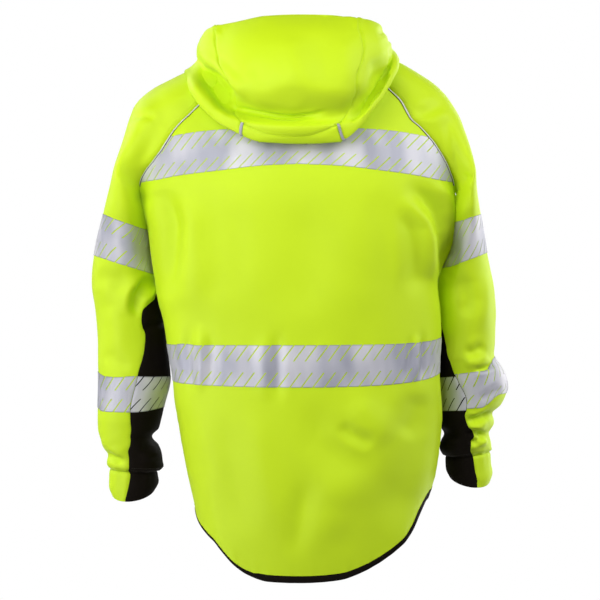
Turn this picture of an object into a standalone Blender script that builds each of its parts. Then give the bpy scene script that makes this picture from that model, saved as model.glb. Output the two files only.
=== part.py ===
"""High-visibility pullover hoodie, filled out as if worn, with nobody in it.

A yellow body with a drop tail, raglan sleeves in a yellow upper and a black
under piece, split cuffs, a three-panel hood folded down at the back, grey
piping on the raglan seams, segmented reflective tape round chest, waist and
arms, and a black hem binding.  Every cut piece is one thin shell.
"""
import math
import bmesh
import bpy
import numpy as np
from mathutils.bvhtree import BVHTree

MM = 0.001
FLEECE = 2.2          # cloth thickness of body, sleeves and hood
CUFF = 2.6            # cuff rib, folded double
TAPE = 0.8            # reflective tape
GAP = 0.3             # between pieces at a seam, and under what lies on cloth
PIPE_HIGH = 1.1       # how far the raglan piping stands up
BIND_THICK = 3.2      # hem binding, wrapped round the cloth

# ---------------------------------------------------------------------------
# The garment's form.  All tables are in millimetres.
# +X is the wearer's left, +Y the back, +Z up; the origin is the middle of the
# neck opening.
# ---------------------------------------------------------------------------

POWER = [  # z, superellipse power of the body's cross-section
    (58, 2.0), (-20, 2.0), (-100, 2.2), (-178, 2.4), (-800, 2.4)]
Z_UNDERARM = -178.0
BINDING = 8.0         # height of the hem binding
PIPING = 3.0          # width of the raglan piping
PIPE_LANE = 4.2       # lane that the piping takes along each raglan seam

# depth of the body in front of and behind the neck axis
DEPTHS = [  # z, back, front
    (58, 54, 30), (48, 60, 36), (20, 76, 52), (0, 88, 64), (-35, 104, 82),
    (-60, 113, 96), (-100, 123, 114), (-140, 130, 125), (-178, 133, 130),
    (-250, 131, 132), (-350, 124, 127), (-420, 118, 122), (-500, 116, 119),
    (-600, 116, 117), (-700, 113, 115), (-790, 109, 112)]

# half width of the body, wearer's left and right (they differ as it hangs)
HALF_LEFT = [  # z, x
    (58, 110), (48, 128), (20, 180), (0, 214), (-35, 245), (-60, 256),
    (-100, 262), (-140, 262), (-163, 260), (-178, 254), (-190, 252.5),
    (-222, 244), (-241, 241), (-274, 236), (-309, 231.5), (-334, 228.5),
    (-376, 219), (-419, 213.4), (-461, 206.4), (-491, 203.7), (-522, 198.4),
    (-602, 181.8), (-675, 166.4), (-790, 150)]
HALF_RIGHT = [  # z, x
    (58, 110), (48, 128), (20, 180), (0, 212), (-35, 240), (-60, 249),
    (-100, 254), (-140, 255), (-163, 253), (-178, 251), (-200, 251),
    (-216, 250.4), (-234, 249), (-254, 243.5), (-274, 236), (-290, 228.5),
    (-312, 220.5), (-354, 224), (-397, 226), (-458, 223), (-506, 226),
    (-525, 227), (-579, 222), (-634, 212), (-658, 205), (-700, 196),
    (-790, 180)]

# raglan seam on the back
SEAM_LEFT = [  # z, x
    (48, 70), (15, 116), (-29, 157), (-49, 177), (-69, 197), (-80, 205),
    (-100, 217.5), (-120, 232), (-137, 245), (-151, 251), (-163, 253.5),
    (-178, 254)]
SEAM_RIGHT = [  # z, x
    (48, 70), (20, 108), (-4, 139), (-27, 162), (-44, 171), (-56, 178),
    (-67, 191), (-79, 202), (-92, 213), (-110, 225), (-127, 234.5),
    (-143, 241), (-154, 244.5), (-178, 251)]
# raglan seam on the front, the same for both sides but for the last row
SEAM_FRONT = [  # z, x
    (10, 72), (-20, 112), (-60, 160), (-100, 198), (-140, 230), (-165, 247)]

# levels of the seams and tapes on the back, from the neckline to the hem.
# u runs from -1 (wearer's right seam) to +1 (wearer's left seam).
NECK_BACK = [(0, 42), (0.5, 43.5), (1, 48)]                        # |u|, z
CHEST_TOP = [(0, -70), (0.5, -72), (0.7, -75), (0.85, -79), (1, -83)]
CHEST_LOW = [(0, -127.5), (0.18, -130.5), (0.37, -137), (0.61, -144.5),
             (0.78, -150.5), (1, -153.5)]
WAIST_TOP = [(-1, -400), (-0.6, -407), (0, -409.5), (0.6, -410), (1, -409)]
WAIST_LOW = [(-1, -457.5), (-0.6, -468), (0, -475.5), (0.6, -472),
             (1, -466.5)]
HEM_SIDE = (-646.0, -664.0)      # z of the panel edge at the side seams, R, L
HEM_BACK = [  # u, z of the tail's panel edge
    (-1, -646), (-0.87, -667), (-0.775, -686), (-0.695, -704), (-0.586, -722),
    (-0.472, -740), (-0.333, -757.7), (-0.174, -771), (0, -774.6),
    (0.18, -773), (0.3, -766), (0.384, -757.5), (0.487, -740), (0.56, -724),
    (0.616, -713.5), (0.695, -704), (0.778, -695.5), (0.84, -687.5),
    (0.9, -679), (1, -664)]
HEM_FRONT = -641.0               # z of the front panel edge at the middle
NECK_FRONT = -35.0

# rows where the levels sit; both panels and both sleeves share them
ROWS = dict(neck=0, chest_top=5, chest_low=8, underarm=9, waist_top=13,
            waist_low=15, hem=19)

# shoulder and outer arm line, then the sleeve sections.  v is the row: 0 is
# the neck, 9 the underarm, 22 the cuff's edge.
# half widths are seen from the neck axis; in = side next to the body
SLEEVE_LEFT = [  # v, x_out, z_out, x_in, z_in, y_mid, deep_back, deep_front
    (0, 95, 58, 0, 0, 0, 0, 0), (1, 131, 45, 0, 0, 0, 0, 0),
    (2, 166, 29, 0, 0, 0, 0, 0), (3, 201, 13, 0, 0, 0, 0, 0),
    (4, 235, -3, 0, 0, 0, 0, 0), (5, 262, -26, 0, 0, 0, 0, 0),
    (6, 274.5, -55, 0, 0, 0, 0, 0), (7, 285, -90, 0, 0, 0, 0, 0),
    (8, 295, -128, 0, 0, 0, 0, 0),
    (9, 305.6, -173, 254, -178, 0, 88, 94),
    (10, 315, -201, 247, -228, -18, 84, 90),
    (12, 331, -267, 235, -298, -40, 77, 82),
    (13, 335.5, -312, 229, -334, -47, 73, 77),
    (14, 330, -363, 218, -379, -50, 70, 73),
    (15, 325.5, -414, 213, -422, -50, 67, 70),
    (16, 324.5, -454, 208, -462, -50, 64, 67),
    (18, 325.5, -511, 219, -512, -50, 59, 62),
    (19, 325, -546, 228, -549, -51, 54, 57),
    (20, 312.5, -585, 225.5, -585, -52, 47, 50),
    (21, 308, -613, 229.5, -619, -52, 39, 41),
    (22, 303, -656, 233.5, -650, -52, 36, 38)]
SLEEVE_RIGHT = [  # v, x_out, z_out, x_in, z_in, y_mid, deep_back, deep_front
    (0, 95, 58, 0, 0, 0, 0, 0), (1, 128, 50, 0, 0, 0, 0, 0),
    (2, 157, 41, 0, 0, 0, 0, 0), (3, 186, 26, 0, 0, 0, 0, 0),
    (4, 215, 7, 0, 0, 0, 0, 0), (5, 240, -20, 0, 0, 0, 0, 0),
    (6, 258, -52, 0, 0, 0, 0, 0), (7, 268, -86, 0, 0, 0, 0, 0),
    (8, 277, -126, 0, 0, 0, 0, 0),
    (9, 286, -174, 251, -178, 0, 86, 92),
    (10, 291, -201.5, 250, -216, -18, 84, 90),
    (12, 300, -262.5, 230, -290, -40, 80, 84),
    (13, 309, -312, 222, -320, -47, 77, 80),
    (14, 316.5, -367, 222, -371, -50, 74, 77),
    (15, 317, -408, 224, -414, -50, 70, 74),
    (16, 318, -447, 224, -462, -50, 67, 70),
    (17, 334.5, -479, 225, -487, -50, 65, 67),
    (18, 331, -499, 226, -513, -50, 62, 64),
    (18.6, 312.5, -522, 227, -531, -50, 58, 60),
    (19, 311.5, -539, 227, -543, -50, 54, 56),
    (20, 305.5, -562.5, 228.5, -562.5, -51, 47, 50),
    (21, 306.5, -587, 237.5, -593.5, -51, 38, 40),
    (22, 309, -625, 248.5, -632, -51, 34, 36)]
# how far the sleeve turns away from the raglan seam, degrees
TURN = [(0, 0), (4, 0), (5, 6), (6, 16), (7, 32), (8, 54), (9, 90)]
# room between the sleeve's inner side and the body
HUG = [(9, 0.4), (9.5, 1.6), (10, 2.0), (12, 0.5), (13, -0.5), (22, -0.5)]
# how much lower the sleeve's section lies at the back than in the middle
LEAN = [(0, 0), (20, 0), (21, 2), (22, 7)]
# where the yellow upper and the black under sleeve meet: part of the
# sleeve's width, from the inner side, that is black
BLACK_FROM = 12.3
BLACK_LEFT = [(12.3, 0.0), (12.7, 0.01), (13.05, 0.03), (13.6, 0.25), (14, 0.30),
              (14.4, 0.27), (15, 0.31), (16, 0.435), (18, 0.487),
              (19, 0.47), (20, 0.57), (21, 0.57), (22, 0.65)]
BLACK_RIGHT = [(12.3, 0.0), (13.2, 0.02), (14, 0.06), (15, 0.11),
               (16, 0.21), (18, 0.40), (18.6, 0.44), (19, 0.55),
               (20, 0.58), (21, 0.58), (22, 0.66)]

# the folded-down hood: sections by angle round the neck, 0 at the back,
# positive to the wearer's left.  r is the distance from the neck axis.
HOOD = [  # angle, rim r z, band r z, crease r z, crown r z, top r z
    (-176, 100, -30, 104, -17, 103, -5, 103, 7, 99, 28),
    (-150, 117, -8, 121, 8, 118, 19, 119, 30, 115, 46),
    (-120, 138, 15, 141, 29, 135, 37, 135, 48, 128, 62),
    (-90, 152, 47, 151, 56, 145, 63, 142, 73, 133, 86),
    (-75, 160, 38, 159, 47, 151, 54, 149, 64, 138, 82),
    (-60, 170, 13, 171, 25, 161, 29, 163, 50, 143, 94),
    (-45, 170, -33, 173, -23, 160, -19, 174, 31, 149, 98),
    (-22, 152, -94, 165, -72, 158, -52, 186, -12, 133, 103),
    (0, 141, -97, 164, -74, 150, -56, 186, -9, 124, 104),
    (22, 151, -94, 166, -70, 151, -51, 190, -13, 133, 101.5),
    (45, 173, -65, 180, -47, 152, -34, 178, 14, 148, 93),
    (60, 184, -27, 191, -7, 161, 6, 176, 46, 164, 88),
    (75, 181, 9, 182, 18, 165, 39, 166, 62, 158, 80),
    (90, 173, 21, 172, 31, 159, 46, 161, 63, 154, 78),
    (120, 150, 12, 150, 25, 144, 33, 145, 45, 139, 60),
    (150, 119, -8, 122, 8, 119, 18, 120, 29, 116, 46),
    (176, 100, -30, 104, -17, 103, -5, 103, 7, 99, 28)]
HOOD_ROWS = 9         # rows of the hood's profile, neck seam 0 to the lip 9
# angle of the seams between the centre panel and the side panels, by row
CENTRE_LEFT = [(0, 33), (2, 33), (3, 33), (3.6, 37), (4.5, 40), (5, 40),
               (5.6, 44), (6.3, 50), (7, 55), (9, 56)]
CENTRE_RIGHT = [(0, 26), (2, 26), (2.5, 24), (3, 22), (3.4, 23), (4, 28),
                (4.6, 29.5), (5, 29), (5.6, 32), (6.3, 34.5), (7, 38), (9, 39)]
# how far the hood swells over the line from its crown to its top edge
SWELL = [(-176, 1), (-90, 1), (-62, 2), (-35, 10), (0, 11), (35, 10), (60, 2),
         (90, 1), (176, 1)]
# U seam below the centre panel: part of its half width, row
NAPE_LEFT = [(0, 2.57), (0.5, 2.61), (0.75, 2.76), (1, 3.0)]
NAPE_RIGHT = [(0, 2.57), (0.2, 2.59), (0.5, 2.72), (0.8, 2.9), (1, 3.0)]


def smooth(rows, col=1):
    """Monotone cubic through a table's rows, in order of its first column."""
    rows = sorted(rows, key=lambda r: r[0])
    xs = np.array([r[0] for r in rows], float)
    ys = np.array([r[col] for r in rows], float)
    h = np.diff(xs)
    d = np.diff(ys) / h
    m = np.zeros(len(xs))
    m[0], m[-1] = d[0], d[-1]
    for i in range(1, len(xs) - 1):
        if d[i - 1] * d[i] > 0:
            w1, w2 = 2 * h[i] + h[i - 1], h[i] + 2 * h[i - 1]
            m[i] = (w1 + w2) / (w1 / d[i - 1] + w2 / d[i])

    def at(x):
        x = np.clip(np.asarray(x, float), xs[0], xs[-1])
        i = np.clip(np.searchsorted(xs, x, side="right") - 1, 0, len(h) - 1)
        t = (x - xs[i]) / h[i]
        t2, t3 = t * t, t * t * t
        return ((2 * t3 - 3 * t2 + 1) * ys[i] + (t3 - 2 * t2 + t) * h[i] * m[i]
                + (3 * t2 - 2 * t3) * ys[i + 1] + (t3 - t2) * h[i] * m[i + 1])
    return at


BACK_AT = smooth(DEPTHS, 1)
POWER_AT = smooth(POWER)
FRONT_AT = smooth(DEPTHS, 2)
HALF_AT = {1: smooth(HALF_LEFT), -1: smooth(HALF_RIGHT)}
SEAM_AT = {1: smooth(SEAM_LEFT), -1: smooth(SEAM_RIGHT)}
FSEAM_AT = {1: smooth(SEAM_FRONT + [(Z_UNDERARM, 254)]),
            -1: smooth(SEAM_FRONT + [(Z_UNDERARM, 251)])}
NECK_BACK_AT = smooth(NECK_BACK)
CHEST_TOP_AT, CHEST_LOW_AT = smooth(CHEST_TOP), smooth(CHEST_LOW)
WAIST_TOP_AT, WAIST_LOW_AT = smooth(WAIST_TOP), smooth(WAIST_LOW)
HEM_BACK_AT = smooth(HEM_BACK)
ARM = {1: [smooth(SLEEVE_LEFT, c) for c in range(1, 3)],
       -1: [smooth(SLEEVE_RIGHT, c) for c in range(1, 3)]}
LOWER = {1: [smooth(SLEEVE_LEFT[9:], c) for c in range(3, 8)],
         -1: [smooth(SLEEVE_RIGHT[9:], c) for c in range(3, 8)]}
TURN_AT, HUG_AT, LEAN_AT = smooth(TURN), smooth(HUG), smooth(LEAN)
BLACK_AT = {1: smooth(BLACK_LEFT), -1: smooth(BLACK_RIGHT)}
HOOD_AT = [smooth(HOOD, c) for c in range(1, 11)]
CENTRE_AT = {1: smooth(CENTRE_LEFT), -1: smooth(CENTRE_RIGHT)}
NAPE_SIDE = {1: smooth(NAPE_LEFT), -1: smooth(NAPE_RIGHT)}
SWELL_AT = smooth(SWELL)


def by_side(table, side, x):
    return np.where(side > 0, table[1](x), table[-1](x))


def nape_edge(c):
    """Row of the U seam, c from -1 to 1 across the centre panel."""
    return by_side(NAPE_SIDE, c, np.abs(c))


def hem_z(u, back):
    """Height of the hem edge of a body panel, u from seam to seam."""
    u = np.asarray(u, float)
    side_z = np.where(u > 0, HEM_SIDE[1], HEM_SIDE[0])
    if back:
        return HEM_BACK_AT(u)
    return HEM_FRONT + (side_z - HEM_FRONT) * np.abs(u) ** 2


def level(row, u, back):
    """Height of a row of a body panel, rows as in ROWS."""
    row, u = np.broadcast_arrays(np.asarray(row, float), np.asarray(u, float))
    row = np.maximum(row, 0)
    a = np.abs(u)
    flat = np.full(u.shape, Z_UNDERARM)
    if back:
        rows = [NECK_BACK_AT(a), CHEST_TOP_AT(a), CHEST_LOW_AT(a), flat,
                WAIST_TOP_AT(u), WAIST_LOW_AT(u), hem_z(u, True)]
    else:
        rows = [NECK_FRONT + 45 * a ** 2, -97 + 4 * a ** 2,
                -160 + 7 * a ** 2, flat,
                -404.5 - 4.5 * u - 10 * (1 - a ** 2),
                -462 - 4.5 * u - 14 * (1 - a ** 2),
                hem_z(u, False)]
    ks = list(ROWS.values())
    z = np.zeros(u.shape)
    for i in range(len(ks) - 1):
        t = (row - ks[i]) / (ks[i + 1] - ks[i])
        here = (row >= ks[i]) & (row <= ks[i + 1])
        z = np.where(here, rows[i] + (rows[i + 1] - rows[i]) * t, z)
    z = np.where(row > ks[-1], rows[-1] - (row - ks[-1]) * BINDING, z)
    return z


def seam_x(side, z, back):
    table = SEAM_AT if back else FSEAM_AT
    return np.where(z <= Z_UNDERARM, by_side(HALF_AT, side, z),
                    by_side(table, side, z))


def body(row, u, back):
    """A point of the body's back or front, in mm, u from seam to seam."""
    row, u = np.broadcast_arrays(np.asarray(row, float), np.asarray(u, float))
    side = np.where(u >= 0, 1, -1)
    z = level(row, u, back)
    half = by_side(HALF_AT, side, z)
    power = POWER_AT(z)
    ratio = np.clip(seam_x(side, z, back) / half, 0, 1)
    reach = np.where(z <= Z_UNDERARM, math.pi / 2,
                     np.arcsin(ratio ** (power / 2)))
    angle = np.abs(u) * reach
    x = side * half * np.sin(angle) ** (2 / power)
    deep = BACK_AT(z) if back else -FRONT_AT(z)
    y = deep * np.clip(np.cos(angle), 0, 1) ** (2 / power)
    return np.stack([x, y, z], -1)


def seam_point(side, row, back):
    """A point of the raglan seam, or of the side seam under the arm."""
    return body(row, np.full(np.shape(row), float(side)), back)


def sleeve(v, a, side):
    """A point of the sleeve's outer skin, in mm.  a runs from -1 at the back
    raglan seam (or the inner side) over 0, outermost, to +1 at the front."""
    v, a = np.broadcast_arrays(np.asarray(v, float), np.asarray(a, float))
    xo, zo = ARM[side][0](v), ARM[side][1](v)
    vl = np.clip(v, 9, 22)
    xi, zi, ym, deep_b, deep_f = [f(vl) for f in LOWER[side]]
    xi = np.maximum(xi, HALF_AT[side](zi) + HUG_AT(vl))
    cap = v < 9
    out = np.stack([side * xo, np.where(cap, 0, ym), zo], -1)
    inner = np.stack([side * xi, ym, zi], -1)
    row = np.clip(v, 0, 9)
    back = np.where(cap[..., None], seam_point(side, row, True), inner)
    front = np.where(cap[..., None], seam_point(side, row, False), inner)
    ends = np.where((a <= 0)[..., None], back, front)
    mid = (back + front) / 2
    rise = out - mid
    rise[..., 1] = 0
    size = np.linalg.norm(rise, axis=-1)
    turn = np.radians(TURN_AT(row))
    full = np.where(cap, TURN_AT(row) / 90, 1.0)
    sign = np.where(a <= 0, 1.0, -1.0)
    deep = np.where(a <= 0, deep_b, deep_f)
    way = rise / np.maximum(size, 1e-6)[..., None]
    start = way * np.cos(np.where(cap, turn, math.pi / 2))[..., None]
    start[..., 1] = sign * np.sin(np.where(cap, turn, math.pi / 2))
    reach = np.abs(ends[..., 1] - out[..., 1])
    h1 = (1 - full) * 0.5523 * size + full * 1.333 * deep
    h2 = (1 - full) * 0.5523 * reach + full * 1.333 * deep
    s = 1 - np.abs(a)
    p1 = ends + start * h1[..., None]
    p2 = out.copy()
    p2[..., 1] += sign * h2
    s = s[..., None]
    point = ((1 - s) ** 3 * ends + 3 * s * (1 - s) ** 2 * p1
             + 3 * s * s * (1 - s) * p2 + s ** 3 * out)
    point[..., 2] -= np.where(cap, 0, LEAN_AT(v) * (point[..., 1] - ym)
                              / np.maximum(deep, 1))
    return point


def black_edge(v, side):
    """|a| of the seam between the upper and the under sleeve."""
    f = np.clip(BLACK_AT[side](np.maximum(v, BLACK_FROM)), 0, 0.99)
    s = np.maximum(0.5 - np.sin(np.arcsin(1 - 2 * f) / 3), 0.006)
    return np.where(v < BLACK_FROM, 1.0, 1 - s)


def neckline():
    """Angle, radius and height round the neck opening."""
    pts = []
    u = np.linspace(-1, 1, 41)
    pts += list(body(np.zeros(41), u, True))
    pts += list(body(np.zeros(41), u, False))
    a = np.linspace(-1, 1, 41)[1:-1]
    for side in (1, -1):
        pts += list(sleeve(np.zeros(39), a, side))
    rows = []
    for x, y, z in pts:
        rows.append((math.degrees(math.atan2(x, y)), math.hypot(x, y), z))
    rows.sort()
    clean = [rows[0]]
    for r in rows[1:]:
        if r[0] - clean[-1][0] > 0.4:
            clean.append(r)
    first, last = clean[0], clean[-1]
    clean.insert(0, (last[0] - 360, last[1], last[2]))
    clean.append((first[0] + 360, first[1], first[2]))
    return clean


NECK = neckline()
NECK_AT = (smooth(NECK, 1), smooth(NECK, 2))


def hood(angle, row):
    """A point of the hood's outer face, in mm: angle in degrees round the
    neck, row 0 at the neck seam, 2 the rim, 4 the crease, 7 the top edge."""
    angle, row = np.broadcast_arrays(np.asarray(angle, float),
                                     np.asarray(row, float))
    r0, z0 = NECK_AT[0](angle) - 0.5, NECK_AT[1](angle) + 2.2
    rim_r, rim_z, band_r, band_z, low_r, low_z, crown_r, crown_z, top_r, \
        top_z = [f(angle) for f in HOOD_AT]
    swell = SWELL_AT(angle)
    rad = [r0, r0 + 0.50 * (rim_r - r0), rim_r, band_r, low_r, crown_r,
           0.55 * crown_r + 0.45 * top_r + swell, top_r, top_r - 13,
           top_r - 19]
    hgt = [z0, z0 + 0.62 * (rim_z - z0), rim_z, band_z, low_z, crown_z,
           0.5 * crown_z + 0.5 * top_z + 0.7 * swell, top_z, top_z - 5,
           top_z - np.minimum(32, 0.45 * (top_z - z0))]
    rad, hgt = np.stack(rad, -1), np.stack(hgt, -1)
    last = rad.shape[-1] - 1
    i = np.clip(np.floor(row).astype(int), 0, last - 1)
    t = row - i

    def pick(arr, j):
        return np.take_along_axis(arr, np.clip(j, 0, last)[..., None],
                                  -1)[..., 0]

    def spline(arr):
        p0, p1 = pick(arr, i - 1), pick(arr, i)
        p2, p3 = pick(arr, i + 1), pick(arr, i + 2)
        return 0.5 * (2 * p1 + (p2 - p0) * t
                      + (2 * p0 - 5 * p1 + 4 * p2 - p3) * t * t
                      + (3 * p1 - p0 - 3 * p2 + p3) * t ** 3)
    r, z = spline(rad), spline(hgt)
    q = np.radians(angle)
    return np.stack([r * np.sin(q), r * np.cos(q), z], -1)


def body_tree():
    """Shoulders, back and front as one mesh to measure room against."""
    points, faces = [], []

    def patch(place, ps, qs, flip):
        start = len(points)
        pp, qq = np.meshgrid(ps, qs, indexing="ij")
        points.extend(map(tuple, place(pp.ravel(), qq.ravel())))
        n = len(qs)
        for i in range(len(ps) - 1):
            for j in range(n - 1):
                a = start + i * n + j
                quad = (a, a + n, a + n + 1, a + 1)
                faces.append(quad[::-1] if flip else quad)
    us = np.linspace(-1, 1, 81)
    rows = np.linspace(0, 11, 67)
    patch(lambda p, q: body(q, p, True), us, rows, False)
    patch(lambda p, q: body(q, p, False), us, rows, True)
    for side in (1, -1):
        patch(lambda p, q: sleeve(q, p, side), np.linspace(-1, 1, 61), rows,
              side < 0)
    return BVHTree.FromPolygons(points, faces)


BODY_TREE = None
ROOM = [(0, 1.6), (0.15, 3.4), (0.5, 5.0), (3.0, 5.0), (3.6, 2.0)]
ROOM_AT = smooth(ROOM)


def hood_clear(angle, row):
    """The hood's outer face, lifted where it would sink into the body."""
    global BODY_TREE
    if BODY_TREE is None:
        BODY_TREE = body_tree()
    point = hood(angle, row)
    row = np.broadcast_to(row, point.shape[:-1])
    flat, rows = point.reshape(-1, 3), row.reshape(-1)
    room = ROOM_AT(rows)
    for i in np.nonzero((rows > 0.02) & (rows < 3.6))[0]:
        near, way, _, far = BODY_TREE.find_nearest(flat[i].tolist())
        if near is None or far > 40:
            continue
        height = (flat[i] - near) @ np.array(way)
        if height < 0 and far > 25:
            continue
        # soft limit: never nearer than the room, no kink where it starts
        want = room[i]
        if height < want + 3:
            t = (height - want) / 3
            soft = want + 3 * (0.25 * (t + 1) ** 2 if t > -1 else 0.0)
            flat[i] = np.array(near) + np.array(way) * max(soft, want)
    return flat.reshape(point.shape)


def normals(place, p, q, flip, dp, dq):
    """Unit normals of a surface, from small steps of its two parameters."""
    a = place(p + dp, q) - place(p - dp, q)
    b = place(p, q + dq) - place(p, q - dq)
    n = np.cross(a, b) * flip
    size = np.linalg.norm(n, axis=-1, keepdims=True)
    return n / np.maximum(size, 1e-9)


# ---------------------------------------------------------------------------
# Pieces
# ---------------------------------------------------------------------------

YELLOW = dict(colour=(0.60, 0.80, 0.03), rough=0.9, metal=0.0)
BLACK = dict(colour=(0.012, 0.010, 0.008), rough=0.9, metal=0.0)
SILVER = dict(colour=(0.46, 0.47, 0.50), rough=0.45, metal=0.3)

collection = None


def clear_scene():
    for obj in list(bpy.data.objects):
        bpy.data.objects.remove(obj, do_unlink=True)


def material(name, colour, rough, metal):
    mat = bpy.data.materials.new(name)
    mat.use_nodes = True
    shader = mat.node_tree.nodes["Principled BSDF"]
    shader.inputs["Base Color"].default_value = (*colour, 1)
    shader.inputs["Roughness"].default_value = rough
    shader.inputs["Metallic"].default_value = metal
    mat.diffuse_color = (*colour, 1)
    return mat


def shell(name, columns, rows, place, normal, top, bottom, look):
    """A cloth piece: a flat grid, given its thickness by an extrusion, then
    laid on the form.  columns and rows are the grid's own steps; place and
    normal turn them into a point and its outward normal; top and bottom are
    the heights of the two faces over the form's skin."""
    columns, rows = np.asarray(columns, float), np.asarray(rows, float)
    nu, nv = len(columns) - 1, len(rows) - 1
    bm = bmesh.new()
    bmesh.ops.create_grid(bm, x_segments=nu, y_segments=nv, size=0.5)
    bmesh.ops.triangulate(bm, faces=bm.faces[:], quad_method="FIXED")
    out = bmesh.ops.extrude_face_region(bm, geom=bm.faces[:],
                                        use_keep_orig=True)
    for item in out["geom"]:
        if isinstance(item, bmesh.types.BMVert):
            item.co.z = -1.0
    flat = np.array([v.co[:] for v in bm.verts])
    ci = np.rint((flat[:, 0] + 0.5) * nu).astype(int)
    ri = np.rint((flat[:, 1] + 0.5) * nv).astype(int)
    c, r = columns[ci], rows[ri]
    point, way = place(c, r), normal(c, r)
    lift = np.where(flat[:, 2] > -0.5, top, bottom)
    point = (point + way * lift[:, None]) * MM
    for vert, co in zip(bm.verts, point):
        vert.co = co
    bmesh.ops.recalc_face_normals(bm, faces=bm.faces[:])
    if bm.calc_volume(signed=True) < 0:
        bmesh.ops.reverse_faces(bm, faces=bm.faces[:])
    mesh = bpy.data.meshes.new(name)
    bm.to_mesh(mesh)
    bm.free()
    mesh.shade_smooth()
    obj = bpy.data.objects.new(name, mesh)
    obj.data.materials.append(material(name + "_finish", **look))
    collection.objects.link(obj)
    return obj


def half_length(row, side, back):
    """Length along a row of a body panel, from its middle to its seam."""
    row = np.asarray(row, float)
    u = np.linspace(0, 1, 33) * side
    pts = body(row[..., None], u, back)
    return np.linalg.norm(np.diff(pts, axis=-2), axis=-1).sum(-1)


LENGTH_ROWS = np.linspace(0, 20, 81)
LENGTH_AT = {(s, b): half_length(LENGTH_ROWS, s, b)
             for s in (1, -1) for b in (True, False)}


def from_seam(row, side, back, mm):
    """|u| of a line that runs mm away from a body panel's seam."""
    row = np.asarray(row, float)
    long = np.where(side > 0,
                    np.interp(row, LENGTH_ROWS, LENGTH_AT[(1, back)]),
                    np.interp(row, LENGTH_ROWS, LENGTH_AT[(-1, back)]))
    return 1 - mm / long


# columns of the body panels: -1 and +1 are the seams, +-0.9 the piping lane
BODY_COLUMNS = [-1, -0.9, -0.8, -0.66, -0.53, -0.4, -0.26, -0.13, 0,
                0.13, 0.26, 0.4, 0.53, 0.66, 0.8, 0.9, 1]
BODY_ROWS = [0, 1, 2, 3, 4, 5, 6.5, 8, 9, 10, 11, 12, 13, 14, 15,
             16.3, 17.7, 19]


def column_u(c, row, back, edge):
    """u of a column: evenly spread inside the piping lanes."""
    side = np.where(c >= 0, 1, -1)
    lane = from_seam(row, side, back, PIPE_LANE)
    rim = from_seam(row, side, back, edge)
    a = np.abs(c)
    inside = a / 0.9 * lane
    outside = lane + (a - 0.9) / 0.1 * (rim - lane)
    return side * np.where(a <= 0.9, inside, outside)


def body_way(row, u, back):
    flip = -1.0 if not back else 1.0
    # u grows to the wearer's left and rows grow downwards
    return normals(lambda p, q: body(q, p, back), u, row, flip, 0.004, 0.04)


def sleeve_way(v, a, side):
    return normals(lambda p, q: sleeve(q, p, side), a, v, side, 0.004, 0.03)


def shared(row):
    """How far a raglan seam's two edges share one normal."""
    return np.clip((8.0 - row) / 3.0, 0, 1) * 0.5


def body_edge_way(row, u, back):
    """Body normal, which meets the sleeve's on the raglan seam."""
    n = body_way(row, u, back)
    for side in (1, -1):
        at = (np.abs(u - side) < 0.02) & (np.abs(u) > 0.93) & (row < 8)
        at &= np.abs(u) >= from_seam(row, np.full(u.shape, side), back, 1.0)
        if at.any():
            m = sleeve_way(row[at], np.full(at.sum(), -0.999 if back
                                            else 0.999), side)
            w = shared(row[at])[:, None]
            mix = n[at] * (1 - w) + m * w
            n[at] = mix / np.linalg.norm(mix, axis=-1, keepdims=True)
    return n


def sleeve_edge_way(v, a, side):
    n = sleeve_way(v, a, side)
    for back in (True, False):
        at = (v < 8) & ((a < -0.99) if back else (a > 0.99))
        if at.any():
            m = body_way(v[at], np.full(at.sum(), side * 0.999), back)
            w = shared(v[at])[:, None]
            mix = n[at] * (1 - w) + m * w
            n[at] = mix / np.linalg.norm(mix, axis=-1, keepdims=True)
    return n


def body_piece(name, back, columns, rows, edge, top, bottom, look,
               shift=0.0):
    shell(name, columns, rows,
          lambda c, r: body(r, column_u(c, r, back, edge), back),
          lambda c, r: body_edge_way(r, column_u(c, r, back, edge), back),
          top, bottom, look)


def trim_rows(rows, first, last):
    """Rows with their two ends moved in by a fraction of a row."""
    rows = list(map(float, rows))
    rows[0] += first
    rows[-1] -= last
    return rows


def rows_between(rows, low, high):
    return [r for r in rows if low <= r <= high]


SLEEVE_COLUMNS = [-1, -0.82, -0.66, -0.5, -0.33, -0.16, 0,
                  0.16, 0.33, 0.5, 0.66, 0.82, 1]
SLEEVE_ROWS = [0, 1, 2, 3, 4, 5, 6.5, 8, 9, 10, 11, 12, 12.3, 13.05, 13.6,
               14, 15, 16, 17, 18, 18.6, 19, 20, 21]
UNDER_COLUMNS = [-1, -0.66, -0.33, 0, 0.33, 0.66, 1]
UNDER_ROWS = [12.3, 13.05, 13.6, 14, 15, 16, 17, 18, 18.6, 19, 20, 21]
S_GAP = 0.0012        # seam gap in the sleeve's own parameter


def upper_a(c, v, side):
    return c * (black_edge(v, side) - S_GAP)


def under_a(c, v, side):
    """The under sleeve: -1 its back seam, 0 the inner line, +1 the front."""
    s = np.abs(c) * (1 - black_edge(v, side) - S_GAP)
    return np.where(c < 0, -1, 1) * (1 - s)


def under_way(c, v, side):
    return normals(lambda p, q: sleeve(q, under_a(p, q, side), side),
                   c, v, -side, 0.02, 0.03)


def upper_piece(name, side, columns, rows, top, bottom, look):
    shell(name, columns, rows,
          lambda c, v: sleeve(v, upper_a(c, v, side), side),
          lambda c, v: sleeve_edge_way(v, upper_a(c, v, side), side),
          top, bottom, look)


def under_piece(name, side, columns, rows, top, bottom, look):
    shell(name, columns, rows,
          lambda c, v: sleeve(v, under_a(c, v, side), side),
          lambda c, v: under_way(c, v, side), top, bottom, look)


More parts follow.
